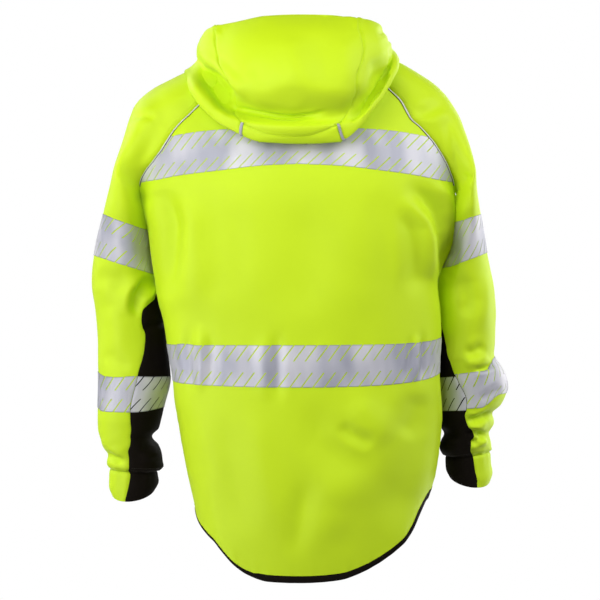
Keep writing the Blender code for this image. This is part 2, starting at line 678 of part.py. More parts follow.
HOOD_STEPS = [0, 0.25, 0.6, 1, 1.5, 2, 2.22, 2.5, 3, 3.4, 3.7, 3.9, 4.1, 4.5,
              5, 5.6, 6.3, 7, 7.9, 9]
HOOD_FRONT = 177.0    # angle of the hood's front edges
ANGLE_GAP = 0.14      # seam gap between hood panels, degrees


def hood_way(angle, row):
    return normals(hood_clear, angle, row, -1.0, 0.5, 0.02)


def hood_piece(name, columns, rows, angle_of, row_of, top, bottom, look):
    def at(c, r):
        return hood_clear(angle_of(c, r), row_of(c, r))

    def way(c, r):
        return hood_way(angle_of(c, r), row_of(c, r))
    shell(name, columns, rows, at, way, top, bottom, look)


def seam_angle(c, row):
    """Angle across the centre panel, c from -1 to +1."""
    side = np.where(c >= 0, 1, -1)
    wide = np.where(side > 0, CENTRE_AT[1](row), CENTRE_AT[-1](row))
    return c * (wide - ANGLE_GAP)


def build():
    # body
    body_piece("back_panel", True, BODY_COLUMNS,
               trim_rows(BODY_ROWS, 0, 0.006), 0.15, 0, -FLEECE, YELLOW)
    body_piece("front_panel", False, BODY_COLUMNS,
               trim_rows(BODY_ROWS, 0, 0.006), 0.15, 0, -FLEECE, YELLOW)
    low, high = GAP, GAP + TAPE
    inner = BODY_COLUMNS[1:-1]
    for word, back in (("back", True), ("front", False)):
        body_piece("tape_chest_" + word, back, inner,
                   rows_between(BODY_ROWS, 5, 8), 0.15, high, low, SILVER)
        body_piece("tape_waist_" + word, back, BODY_COLUMNS,
                   rows_between(BODY_ROWS, 13, 15), 0.3, high, low, SILVER)
        body_piece("hem_binding_" + word, back, BODY_COLUMNS, [19.08, 20],
                   0.2, 0.6, 0.6 - BIND_THICK, BLACK)
        for side_word, side in (("left", 1), ("right", -1)):
            piping(f"piping_{word}_{side_word}", side, back)

    for word, side in (("left", 1), ("right", -1)):
        upper_piece("sleeve_upper_" + word, side, SLEEVE_COLUMNS,
                    trim_rows(SLEEVE_ROWS, 0, 0.005), 0, -FLEECE, YELLOW)
        under_piece("sleeve_under_" + word, side, UNDER_COLUMNS,
                    trim_rows(UNDER_ROWS, 0, 0.005), 0, -FLEECE, BLACK)
        upper_piece("cuff_outer_" + word, side, SLEEVE_COLUMNS,
                    [21.005, 21.5, 22], 0, -CUFF, YELLOW)
        under_piece("cuff_inner_" + word, side, UNDER_COLUMNS,
                    [21.005, 21.5, 22], 0, -CUFF, BLACK)
        upper_piece("tape_arm_upper_" + word, side, SLEEVE_COLUMNS,
                    rows_between(SLEEVE_ROWS, 10, 12), high, low, SILVER)
        upper_piece("tape_arm_lower_outer_" + word, side, SLEEVE_COLUMNS,
                    rows_between(SLEEVE_ROWS, 16, 18), high, low, SILVER)
        under_piece("tape_arm_lower_under_" + word, side, UNDER_COLUMNS,
                    rows_between(UNDER_ROWS, 16, 18), high, low, SILVER)

    centre = [-1, -0.89, -0.7, -0.4, 0, 0.4, 0.7, 0.89, 1]
    hood_piece("hood_center", centre, [s for s in HOOD_STEPS if s >= 3],
               seam_angle_at_centre, centre_row, 0, -FLEECE, YELLOW)
    hood_piece("hood_nape_insert", centre, [s for s in HOOD_STEPS if s <= 3],
               seam_angle_at_nape, nape_row, 0, -FLEECE, YELLOW)
    for word, side, across in (
            ("left", 1, [0, 0.06, 0.12, 0.19, 0.25, 0.31, 0.37, 0.43, 0.5,
                         0.6, 0.73, 0.87, 1]),
            ("right", -1, [0, 0.05, 0.1, 0.155, 0.21, 0.26, 0.31, 0.36, 0.405,
                           0.45, 0.5, 0.56, 0.64, 0.75, 0.87, 1])):
        hood_piece("hood_side_" + word, across, HOOD_STEPS,
                   lambda c, r, side=side: side_angle(c, r, side),
                   lambda c, r: r, 0, -FLEECE, YELLOW)
        hood_piece("hood_tab_" + word, [-1, 0, 1], [2.22, 2.5, 3],
                   lambda c, r, side=side: side * (
                       CENTRE_AT[side](r) + c * 0.75),
                   lambda c, r: np.clip(r, 2.24, 2.97), 1.2, 0.4, SILVER)


def centre_row(c, r):
    edge = nape_edge(c)
    return edge + np.where(r > 3, (r - 3) * (9 - edge) / 6, 0.014)


def nape_row(c, r):
    return r * nape_edge(c) / 3 - np.where(r < 3, 0, 0.014)


def seam_angle_at_centre(c, r):
    return seam_angle(c, r)


def seam_angle_at_nape(c, r):
    return seam_angle(c, r)


def side_angle(c, r, side):
    near = CENTRE_AT[side](r) + ANGLE_GAP
    return side * (near + c * (HOOD_FRONT - near))


def piping(name, side, back):
    """Piping that lies along the raglan seam, on the body's side of it."""
    rows = [0.4, 1, 2, 3, 4, 5, 6.5] + ([] if back else [8])

    def u_of(c, r):
        full = np.full(np.shape(r), side)
        near = from_seam(r, full, back, 0.4)
        far = from_seam(r, full, back, 0.2 + PIPING)
        return side * (near + (far - near) * c)
    shell(name, [0, 1], rows,
          lambda c, r: body(r, u_of(c, r), back),
          lambda c, r: body_way(r, u_of(c, r), back),
          GAP + PIPE_HIGH, GAP, SILVER)


clear_scene()
collection = bpy.data.collections.new("HighVisHoodie")
bpy.context.scene.collection.children.link(collection)
build()
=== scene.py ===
"""High-visibility hoodie, filled out with no wearer, seen from its back.

The cloth pieces are thin shells laid on the garment's form, with the main
creases placed as soft troughs and ridges.
"""
import math

import bmesh
import bpy
import numpy as np
from mathutils.bvhtree import BVHTree
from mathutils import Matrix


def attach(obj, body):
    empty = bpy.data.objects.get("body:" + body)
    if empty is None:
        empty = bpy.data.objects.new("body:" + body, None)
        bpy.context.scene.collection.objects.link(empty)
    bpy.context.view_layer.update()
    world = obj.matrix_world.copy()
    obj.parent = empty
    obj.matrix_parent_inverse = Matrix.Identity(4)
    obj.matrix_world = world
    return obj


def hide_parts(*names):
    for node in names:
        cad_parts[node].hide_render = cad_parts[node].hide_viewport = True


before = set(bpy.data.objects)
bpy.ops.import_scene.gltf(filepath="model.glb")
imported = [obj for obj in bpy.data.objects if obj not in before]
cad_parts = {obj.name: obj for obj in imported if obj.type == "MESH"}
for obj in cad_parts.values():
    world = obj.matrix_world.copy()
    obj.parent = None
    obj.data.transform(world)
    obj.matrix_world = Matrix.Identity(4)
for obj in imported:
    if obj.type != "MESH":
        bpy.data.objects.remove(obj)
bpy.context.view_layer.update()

MM = 0.001
FLEECE = 2.2          # thickness of the body cloth, mm
CUFF = 2.6
TAPE = 0.45
GAP = 0.3

# ---------------------------------------------------------------------------
# The garment's form.  All tables are in millimetres.
# +X is the wearer's left, +Y the back, +Z up; the origin is the middle of the
# neck opening.
# ---------------------------------------------------------------------------

POWER = [  # z, superellipse power of the body's cross-section
    (58, 2.0), (-20, 2.0), (-100, 2.2), (-178, 2.4), (-800, 2.4)]
Z_UNDERARM = -178.0
BINDING = 8.0         # height of the hem binding
PIPING = 3.0          # width of the raglan piping
PIPE_LANE = 4.2       # lane that the piping takes along each raglan seam

# depth of the body in front of and behind the neck axis
DEPTHS = [  # z, back, front
    (58, 54, 30), (48, 60, 36), (20, 76, 52), (0, 88, 64), (-35, 104, 82),
    (-60, 113, 96), (-100, 123, 114), (-140, 130, 125), (-178, 133, 130),
    (-250, 131, 132), (-350, 124, 127), (-420, 118, 122), (-500, 116, 119),
    (-600, 116, 117), (-700, 113, 115), (-790, 109, 112)]

# half width of the body, wearer's left and right (they differ as it hangs)
HALF_LEFT = [  # z, x
    (58, 110), (48, 128), (20, 180), (0, 214), (-35, 245), (-60, 256),
    (-100, 262), (-140, 262), (-163, 260), (-178, 254), (-190, 252.5),
    (-222, 244), (-241, 241), (-274, 236), (-309, 231.5), (-334, 228.5),
    (-376, 219), (-419, 213.4), (-461, 206.4), (-491, 203.7), (-522, 198.4),
    (-602, 181.8), (-675, 166.4), (-790, 150)]
HALF_RIGHT = [  # z, x
    (58, 110), (48, 128), (20, 180), (0, 212), (-35, 240), (-60, 249),
    (-100, 254), (-140, 255), (-163, 253), (-178, 251), (-200, 251),
    (-216, 250.4), (-234, 249), (-254, 243.5), (-274, 236), (-290, 228.5),
    (-312, 220.5), (-354, 224), (-397, 226), (-458, 223), (-506, 226),
    (-525, 227), (-579, 222), (-634, 212), (-658, 205), (-700, 196),
    (-790, 180)]

# raglan seam on the back
SEAM_LEFT = [  # z, x
    (48, 70), (15, 116), (-29, 157), (-49, 177), (-69, 197), (-80, 205),
    (-100, 217.5), (-120, 232), (-137, 245), (-151, 251), (-163, 253.5),
    (-178, 254)]
SEAM_RIGHT = [  # z, x
    (48, 70), (20, 108), (-4, 139), (-27, 162), (-44, 171), (-56, 178),
    (-67, 191), (-79, 202), (-92, 213), (-110, 225), (-127, 234.5),
    (-143, 241), (-154, 244.5), (-178, 251)]
# raglan seam on the front, the same for both sides but for the last row
SEAM_FRONT = [  # z, x
    (10, 72), (-20, 112), (-60, 160), (-100, 198), (-140, 230), (-165, 247)]

# levels of the seams and tapes on the back, from the neckline to the hem.
# u runs from -1 (wearer's right seam) to +1 (wearer's left seam).
NECK_BACK = [(0, 42), (0.5, 43.5), (1, 48)]                        # |u|, z
CHEST_TOP = [(0, -70), (0.5, -72), (0.7, -75), (0.85, -79), (1, -83)]
CHEST_LOW = [(0, -127.5), (0.18, -130.5), (0.37, -137), (0.61, -144.5),
             (0.78, -150.5), (1, -153.5)]
WAIST_TOP = [(-1, -400), (-0.6, -407), (0, -409.5), (0.6, -410), (1, -409)]
WAIST_LOW = [(-1, -457.5), (-0.6, -468), (0, -475.5), (0.6, -472),
             (1, -466.5)]
HEM_SIDE = (-646.0, -664.0)      # z of the panel edge at the side seams, R, L
HEM_BACK = [  # u, z of the tail's panel edge
    (-1, -646), (-0.87, -667), (-0.775, -686), (-0.695, -704), (-0.586, -722),
    (-0.472, -740), (-0.333, -757.7), (-0.174, -771), (0, -774.6),
    (0.18, -773), (0.3, -766), (0.384, -757.5), (0.487, -740), (0.56, -724),
    (0.616, -713.5), (0.695, -704), (0.778, -695.5), (0.84, -687.5),
    (0.9, -679), (1, -664)]
HEM_FRONT = -641.0               # z of the front panel edge at the middle
NECK_FRONT = -35.0

# rows where the levels sit; both panels and both sleeves share them
ROWS = dict(neck=0, chest_top=5, chest_low=8, underarm=9, waist_top=13,
            waist_low=15, hem=19)

# shoulder and outer arm line, then the sleeve sections.  v is the row: 0 is
# the neck, 9 the underarm, 22 the cuff's edge.
# half widths are seen from the neck axis; in = side next to the body
SLEEVE_LEFT = [  # v, x_out, z_out, x_in, z_in, y_mid, deep_back, deep_front
    (0, 95, 58, 0, 0, 0, 0, 0), (1, 131, 45, 0, 0, 0, 0, 0),
    (2, 166, 29, 0, 0, 0, 0, 0), (3, 201, 13, 0, 0, 0, 0, 0),
    (4, 235, -3, 0, 0, 0, 0, 0), (5, 262, -26, 0, 0, 0, 0, 0),
    (6, 274.5, -55, 0, 0, 0, 0, 0), (7, 285, -90, 0, 0, 0, 0, 0),
    (8, 295, -128, 0, 0, 0, 0, 0),
    (9, 305.6, -173, 254, -178, 0, 88, 94),
    (10, 315, -201, 247, -228, -18, 84, 90),
    (12, 331, -267, 235, -298, -40, 77, 82),
    (13, 335.5, -312, 229, -334, -47, 73, 77),
    (14, 330, -363, 218, -379, -50, 70, 73),
    (15, 325.5, -414, 213, -422, -50, 67, 70),
    (16, 324.5, -454, 208, -462, -50, 64, 67),
    (18, 325.5, -511, 219, -512, -50, 59, 62),
    (19, 325, -546, 228, -549, -51, 54, 57),
    (20, 312.5, -585, 225.5, -585, -52, 47, 50),
    (21, 308, -613, 229.5, -619, -52, 39, 41),
    (22, 303, -656, 233.5, -650, -52, 36, 38)]
SLEEVE_RIGHT = [  # v, x_out, z_out, x_in, z_in, y_mid, deep_back, deep_front
    (0, 95, 58, 0, 0, 0, 0, 0), (1, 128, 50, 0, 0, 0, 0, 0),
    (2, 157, 41, 0, 0, 0, 0, 0), (3, 186, 26, 0, 0, 0, 0, 0),
    (4, 215, 7, 0, 0, 0, 0, 0), (5, 240, -20, 0, 0, 0, 0, 0),
    (6, 258, -52, 0, 0, 0, 0, 0), (7, 268, -86, 0, 0, 0, 0, 0),
    (8, 277, -126, 0, 0, 0, 0, 0),
    (9, 286, -174, 251, -178, 0, 86, 92),
    (10, 291, -201.5, 250, -216, -18, 84, 90),
    (12, 300, -262.5, 230, -290, -40, 80, 84),
    (13, 309, -312, 222, -320, -47, 77, 80),
    (14, 316.5, -367, 222, -371, -50, 74, 77),
    (15, 317, -408, 224, -414, -50, 70, 74),
    (16, 318, -447, 224, -462, -50, 67, 70),
    (17, 334.5, -479, 225, -487, -50, 65, 67),
    (18, 331, -499, 226, -513, -50, 62, 64),
    (18.6, 312.5, -522, 227, -531, -50, 58, 60),
    (19, 311.5, -539, 227, -543, -50, 54, 56),
    (20, 305.5, -562.5, 228.5, -562.5, -51, 47, 50),
    (21, 306.5, -587, 237.5, -593.5, -51, 38, 40),
    (22, 309, -625, 248.5, -632, -51, 34, 36)]
# how far the sleeve turns away from the raglan seam, degrees
TURN = [(0, 0), (4, 0), (5, 6), (6, 16), (7, 32), (8, 54), (9, 90)]
# room between the sleeve's inner side and the body
HUG = [(9, 0.4), (9.5, 1.6), (10, 2.0), (12, 0.5), (13, -0.5), (22, -0.5)]
# how much lower the sleeve's section lies at the back than in the middle
LEAN = [(0, 0), (20, 0), (21, 2), (22, 7)]
# where the yellow upper and the black under sleeve meet: part of the
# sleeve's width, from the inner side, that is black
BLACK_FROM = 12.3
BLACK_LEFT = [(12.3, 0.0), (12.7, 0.01), (13.05, 0.03), (13.6, 0.25), (14, 0.30),
              (14.4, 0.27), (15, 0.31), (16, 0.435), (18, 0.487),
              (19, 0.47), (20, 0.57), (21, 0.57), (22, 0.65)]
BLACK_RIGHT = [(12.3, 0.0), (13.2, 0.02), (14, 0.06), (15, 0.11),
               (16, 0.21), (18, 0.40), (18.6, 0.44), (19, 0.55),
               (20, 0.58), (21, 0.58), (22, 0.66)]

# the folded-down hood: sections by angle round the neck, 0 at the back,
# positive to the wearer's left.  r is the distance from the neck axis.
HOOD = [  # angle, rim r z, band r z, crease r z, crown r z, top r z
    (-176, 100, -30, 104, -17, 103, -5, 103, 7, 99, 28),
    (-150, 117, -8, 121, 8, 118, 19, 119, 30, 115, 46),
    (-120, 138, 15, 141, 29, 135, 37, 135, 48, 128, 62),
    (-90, 152, 47, 151, 56, 145, 63, 142, 73, 133, 86),
    (-75, 160, 38, 159, 47, 151, 54, 149, 64, 138, 82),
    (-60, 170, 13, 171, 25, 161, 29, 163, 50, 143, 94),
    (-45, 170, -33, 173, -23, 160, -19, 174, 31, 149, 98),
    (-22, 152, -94, 165, -72, 158, -52, 186, -12, 133, 103),
    (0, 141, -97, 164, -74, 150, -56, 186, -9, 124, 104),
    (22, 151, -94, 166, -70, 151, -51, 190, -13, 133, 101.5),
    (45, 173, -65, 180, -47, 152, -34, 178, 14, 148, 93),
    (60, 184, -27, 191, -7, 161, 6, 176, 46, 164, 88),
    (75, 181, 9, 182, 18, 165, 39, 166, 62, 158, 80),
    (90, 173, 21, 172, 31, 159, 46, 161, 63, 154, 78),
    (120, 150, 12, 150, 25, 144, 33, 145, 45, 139, 60),
    (150, 119, -8, 122, 8, 119, 18, 120, 29, 116, 46),
    (176, 100, -30, 104, -17, 103, -5, 103, 7, 99, 28)]
HOOD_ROWS = 9         # rows of the hood's profile, neck seam 0 to the lip 9
# angle of the seams between the centre panel and the side panels, by row
CENTRE_LEFT = [(0, 33), (2, 33), (3, 33), (3.6, 37), (4.5, 40), (5, 40),
               (5.6, 44), (6.3, 50), (7, 55), (9, 56)]
CENTRE_RIGHT = [(0, 26), (2, 26), (2.5, 24), (3, 22), (3.4, 23), (4, 28),
                (4.6, 29.5), (5, 29), (5.6, 32), (6.3, 34.5), (7, 38), (9, 39)]
# how far the hood swells over the line from its crown to its top edge
SWELL = [(-176, 1), (-90, 1), (-62, 2), (-35, 10), (0, 11), (35, 10), (60, 2),
         (90, 1), (176, 1)]
# U seam below the centre panel: part of its half width, row
NAPE_LEFT = [(0, 2.57), (0.5, 2.61), (0.75, 2.76), (1, 3.0)]
NAPE_RIGHT = [(0, 2.57), (0.2, 2.59), (0.5, 2.72), (0.8, 2.9), (1, 3.0)]


def smooth(rows, col=1):
    """Monotone cubic through a table's rows, in order of its first column."""
    rows = sorted(rows, key=lambda r: r[0])
    xs = np.array([r[0] for r in rows], float)
    ys = np.array([r[col] for r in rows], float)
    h = np.diff(xs)
    d = np.diff(ys) / h
    m = np.zeros(len(xs))
    m[0], m[-1] = d[0], d[-1]
    for i in range(1, len(xs) - 1):
        if d[i - 1] * d[i] > 0:
            w1, w2 = 2 * h[i] + h[i - 1], h[i] + 2 * h[i - 1]
            m[i] = (w1 + w2) / (w1 / d[i - 1] + w2 / d[i])

    def at(x):
        x = np.clip(np.asarray(x, float), xs[0], xs[-1])
        i = np.clip(np.searchsorted(xs, x, side="right") - 1, 0, len(h) - 1)
        t = (x - xs[i]) / h[i]
        t2, t3 = t * t, t * t * t
        return ((2 * t3 - 3 * t2 + 1) * ys[i] + (t3 - 2 * t2 + t) * h[i] * m[i]
                + (3 * t2 - 2 * t3) * ys[i + 1] + (t3 - t2) * h[i] * m[i + 1])
    return at


BACK_AT = smooth(DEPTHS, 1)
POWER_AT = smooth(POWER)
FRONT_AT = smooth(DEPTHS, 2)
HALF_AT = {1: smooth(HALF_LEFT), -1: smooth(HALF_RIGHT)}
SEAM_AT = {1: smooth(SEAM_LEFT), -1: smooth(SEAM_RIGHT)}
FSEAM_AT = {1: smooth(SEAM_FRONT + [(Z_UNDERARM, 254)]),
            -1: smooth(SEAM_FRONT + [(Z_UNDERARM, 251)])}
NECK_BACK_AT = smooth(NECK_BACK)
CHEST_TOP_AT, CHEST_LOW_AT = smooth(CHEST_TOP), smooth(CHEST_LOW)
WAIST_TOP_AT, WAIST_LOW_AT = smooth(WAIST_TOP), smooth(WAIST_LOW)
HEM_BACK_AT = smooth(HEM_BACK)
ARM = {1: [smooth(SLEEVE_LEFT, c) for c in range(1, 3)],
       -1: [smooth(SLEEVE_RIGHT, c) for c in range(1, 3)]}
LOWER = {1: [smooth(SLEEVE_LEFT[9:], c) for c in range(3, 8)],
         -1: [smooth(SLEEVE_RIGHT[9:], c) for c in range(3, 8)]}
TURN_AT, HUG_AT, LEAN_AT = smooth(TURN), smooth(HUG), smooth(LEAN)
BLACK_AT = {1: smooth(BLACK_LEFT), -1: smooth(BLACK_RIGHT)}
HOOD_AT = [smooth(HOOD, c) for c in range(1, 11)]
CENTRE_AT = {1: smooth(CENTRE_LEFT), -1: smooth(CENTRE_RIGHT)}
NAPE_SIDE = {1: smooth(NAPE_LEFT), -1: smooth(NAPE_RIGHT)}
SWELL_AT = smooth(SWELL)


def by_side(table, side, x):
    return np.where(side > 0, table[1](x), table[-1](x))


def nape_edge(c):
    """Row of the U seam, c from -1 to 1 across the centre panel."""
    return by_side(NAPE_SIDE, c, np.abs(c))


def hem_z(u, back):
    """Height of the hem edge of a body panel, u from seam to seam."""
    u = np.asarray(u, float)
    side_z = np.where(u > 0, HEM_SIDE[1], HEM_SIDE[0])
    if back:
        return HEM_BACK_AT(u)
    return HEM_FRONT + (side_z - HEM_FRONT) * np.abs(u) ** 2


def level(row, u, back):
    """Height of a row of a body panel, rows as in ROWS."""
    row, u = np.broadcast_arrays(np.asarray(row, float), np.asarray(u, float))
    row = np.maximum(row, 0)
    a = np.abs(u)
    flat = np.full(u.shape, Z_UNDERARM)
    if back:
        rows = [NECK_BACK_AT(a), CHEST_TOP_AT(a), CHEST_LOW_AT(a), flat,
                WAIST_TOP_AT(u), WAIST_LOW_AT(u), hem_z(u, True)]
    else:
        rows = [NECK_FRONT + 45 * a ** 2, -97 + 4 * a ** 2,
                -160 + 7 * a ** 2, flat,
                -404.5 - 4.5 * u - 10 * (1 - a ** 2),
                -462 - 4.5 * u - 14 * (1 - a ** 2),
                hem_z(u, False)]
    ks = list(ROWS.values())
    z = np.zeros(u.shape)
    for i in range(len(ks) - 1):
        t = (row - ks[i]) / (ks[i + 1] - ks[i])
        here = (row >= ks[i]) & (row <= ks[i + 1])
        z = np.where(here, rows[i] + (rows[i + 1] - rows[i]) * t, z)
    z = np.where(row > ks[-1], rows[-1] - (row - ks[-1]) * BINDING, z)
    return z


def seam_x(side, z, back):
    table = SEAM_AT if back else FSEAM_AT
    return np.where(z <= Z_UNDERARM, by_side(HALF_AT, side, z),
                    by_side(table, side, z))


def body(row, u, back):
    """A point of the body's back or front, in mm, u from seam to seam."""
    row, u = np.broadcast_arrays(np.asarray(row, float), np.asarray(u, float))
    side = np.where(u >= 0, 1, -1)
    z = level(row, u, back)
    half = by_side(HALF_AT, side, z)
    power = POWER_AT(z)
    ratio = np.clip(seam_x(side, z, back) / half, 0, 1)
    reach = np.where(z <= Z_UNDERARM, math.pi / 2,
                     np.arcsin(ratio ** (power / 2)))
    angle = np.abs(u) * reach
    x = side * half * np.sin(angle) ** (2 / power)
    deep = BACK_AT(z) if back else -FRONT_AT(z)
    y = deep * np.clip(np.cos(angle), 0, 1) ** (2 / power)
    return np.stack([x, y, z], -1)


def seam_point(side, row, back):
    """A point of the raglan seam, or of the side seam under the arm."""
    return body(row, np.full(np.shape(row), float(side)), back)


def sleeve(v, a, side):
    """A point of the sleeve's outer skin, in mm.  a runs from -1 at the back
    raglan seam (or the inner side) over 0, outermost, to +1 at the front."""
    v, a = np.broadcast_arrays(np.asarray(v, float), np.asarray(a, float))
    xo, zo = ARM[side][0](v), ARM[side][1](v)
    vl = np.clip(v, 9, 22)
    xi, zi, ym, deep_b, deep_f = [f(vl) for f in LOWER[side]]
    xi = np.maximum(xi, HALF_AT[side](zi) + HUG_AT(vl))
    cap = v < 9
    out = np.stack([side * xo, np.where(cap, 0, ym), zo], -1)
    inner = np.stack([side * xi, ym, zi], -1)
    row = np.clip(v, 0, 9)
    back = np.where(cap[..., None], seam_point(side, row, True), inner)
    front = np.where(cap[..., None], seam_point(side, row, False), inner)
    ends = np.where((a <= 0)[..., None], back, front)
    mid = (back + front) / 2
    rise = out - mid
    rise[..., 1] = 0
    size = np.linalg.norm(rise, axis=-1)
    turn = np.radians(TURN_AT(row))
    full = np.where(cap, TURN_AT(row) / 90, 1.0)
    sign = np.where(a <= 0, 1.0, -1.0)
    deep = np.where(a <= 0, deep_b, deep_f)
    way = rise / np.maximum(size, 1e-6)[..., None]
    start = way * np.cos(np.where(cap, turn, math.pi / 2))[..., None]
    start[..., 1] = sign * np.sin(np.where(cap, turn, math.pi / 2))
    reach = np.abs(ends[..., 1] - out[..., 1])
    h1 = (1 - full) * 0.5523 * size + full * 1.333 * deep
    h2 = (1 - full) * 0.5523 * reach + full * 1.333 * deep
    s = 1 - np.abs(a)
    p1 = ends + start * h1[..., None]
    p2 = out.copy()
    p2[..., 1] += sign * h2
    s = s[..., None]
    point = ((1 - s) ** 3 * ends + 3 * s * (1 - s) ** 2 * p1
             + 3 * s * s * (1 - s) * p2 + s ** 3 * out)
    point[..., 2] -= np.where(cap, 0, LEAN_AT(v) * (point[..., 1] - ym)
                              / np.maximum(deep, 1))
    return point


def black_edge(v, side):
    """|a| of the seam between the upper and the under sleeve."""
    f = np.clip(BLACK_AT[side](np.maximum(v, BLACK_FROM)), 0, 0.99)
    s = np.maximum(0.5 - np.sin(np.arcsin(1 - 2 * f) / 3), 0.006)
    return np.where(v < BLACK_FROM, 1.0, 1 - s)


def neckline():
    """Angle, radius and height round the neck opening."""
    pts = []
    u = np.linspace(-1, 1, 41)
    pts += list(body(np.zeros(41), u, True))
    pts += list(body(np.zeros(41), u, False))
    a = np.linspace(-1, 1, 41)[1:-1]
    for side in (1, -1):
        pts += list(sleeve(np.zeros(39), a, side))
    rows = []
    for x, y, z in pts:
        rows.append((math.degrees(math.atan2(x, y)), math.hypot(x, y), z))
    rows.sort()
    clean = [rows[0]]
    for r in rows[1:]:
        if r[0] - clean[-1][0] > 0.4:
            clean.append(r)
    first, last = clean[0], clean[-1]
    clean.insert(0, (last[0] - 360, last[1], last[2]))
    clean.append((first[0] + 360, first[1], first[2]))
    return clean


NECK = neckline()
NECK_AT = (smooth(NECK, 1), smooth(NECK, 2))


def hood(angle, row):
    """A point of the hood's outer face, in mm: angle in degrees round the
    neck, row 0 at the neck seam, 2 the rim, 4 the crease, 7 the top edge."""
    angle, row = np.broadcast_arrays(np.asarray(angle, float),
                                     np.asarray(row, float))
    r0, z0 = NECK_AT[0](angle) - 0.5, NECK_AT[1](angle) + 2.2
    rim_r, rim_z, band_r, band_z, low_r, low_z, crown_r, crown_z, top_r, \
        top_z = [f(angle) for f in HOOD_AT]
    swell = SWELL_AT(angle)
    rad = [r0, r0 + 0.50 * (rim_r - r0), rim_r, band_r, low_r, crown_r,
           0.55 * crown_r + 0.45 * top_r + swell, top_r, top_r - 13,
           top_r - 19]
    hgt = [z0, z0 + 0.62 * (rim_z - z0), rim_z, band_z, low_z, crown_z,
           0.5 * crown_z + 0.5 * top_z + 0.7 * swell, top_z, top_z - 5,
           top_z - np.minimum(32, 0.45 * (top_z - z0))]
    rad, hgt = np.stack(rad, -1), np.stack(hgt, -1)
    last = rad.shape[-1] - 1
    i = np.clip(np.floor(row).astype(int), 0, last - 1)
    t = row - i

    def pick(arr, j):
        return np.take_along_axis(arr, np.clip(j, 0, last)[..., None],
                                  -1)[..., 0]

    def spline(arr):
        p0, p1 = pick(arr, i - 1), pick(arr, i)
        p2, p3 = pick(arr, i + 1), pick(arr, i + 2)
        return 0.5 * (2 * p1 + (p2 - p0) * t
                      + (2 * p0 - 5 * p1 + 4 * p2 - p3) * t * t
                      + (3 * p1 - p0 - 3 * p2 + p3) * t ** 3)
    r, z = spline(rad), spline(hgt)
    q = np.radians(angle)
    return np.stack([r * np.sin(q), r * np.cos(q), z], -1)


def body_tree():
    """Shoulders, back and front as one mesh to measure room against."""
    points, faces = [], []

    def patch(place, ps, qs, flip):
        start = len(points)
        pp, qq = np.meshgrid(ps, qs, indexing="ij")
        points.extend(map(tuple, place(pp.ravel(), qq.ravel())))
        n = len(qs)
        for i in range(len(ps) - 1):
            for j in range(n - 1):
                a = start + i * n + j
                quad = (a, a + n, a + n + 1, a + 1)
                faces.append(quad[::-1] if flip else quad)
    us = np.linspace(-1, 1, 81)
    rows = np.linspace(0, 11, 67)
    patch(lambda p, q: body(q, p, True), us, rows, False)
    patch(lambda p, q: body(q, p, False), us, rows, True)
    for side in (1, -1):
        patch(lambda p, q: sleeve(q, p, side), np.linspace(-1, 1, 61), rows,
              side < 0)
    return BVHTree.FromPolygons(points, faces)


BODY_TREE = None
ROOM = [(0, 1.6), (0.15, 3.4), (0.5, 5.0), (3.0, 5.0), (3.6, 2.0)]
ROOM_AT = smooth(ROOM)


def hood_clear(angle, row):
    """The hood's outer face, lifted where it would sink into the body."""
    global BODY_TREE
    if BODY_TREE is None:
        BODY_TREE = body_tree()
    point = hood(angle, row)
    row = np.broadcast_to(row, point.shape[:-1])
    flat, rows = point.reshape(-1, 3), row.reshape(-1)
    room = ROOM_AT(rows)
    for i in np.nonzero((rows > 0.02) & (rows < 3.6))[0]:
        near, way, _, far = BODY_TREE.find_nearest(flat[i].tolist())
        if near is None or far > 40:
            continue
        height = (flat[i] - near) @ np.array(way)
        if height < 0 and far > 25:
            continue
        # soft limit: never nearer than the room, no kink where it starts
        want = room[i]
        if height < want + 3:
            t = (height - want) / 3
            soft = want + 3 * (0.25 * (t + 1) ** 2 if t > -1 else 0.0)
            flat[i] = np.array(near) + np.array(way) * max(soft, want)
    return flat.reshape(point.shape)


def normals(place, p, q, flip, dp, dq):
    """Unit normals of a surface, from small steps of its two parameters."""
    a = place(p + dp, q) - place(p - dp, q)
    b = place(p, q + dq) - place(p, q - dq)
    n = np.cross(a, b) * flip
    size = np.linalg.norm(n, axis=-1, keepdims=True)
    return n / np.maximum(size, 1e-9)


# ---------------------------------------------------------------------------
# Finer sections of the lower sleeves, where they crumple over the cuffs
# ---------------------------------------------------------------------------

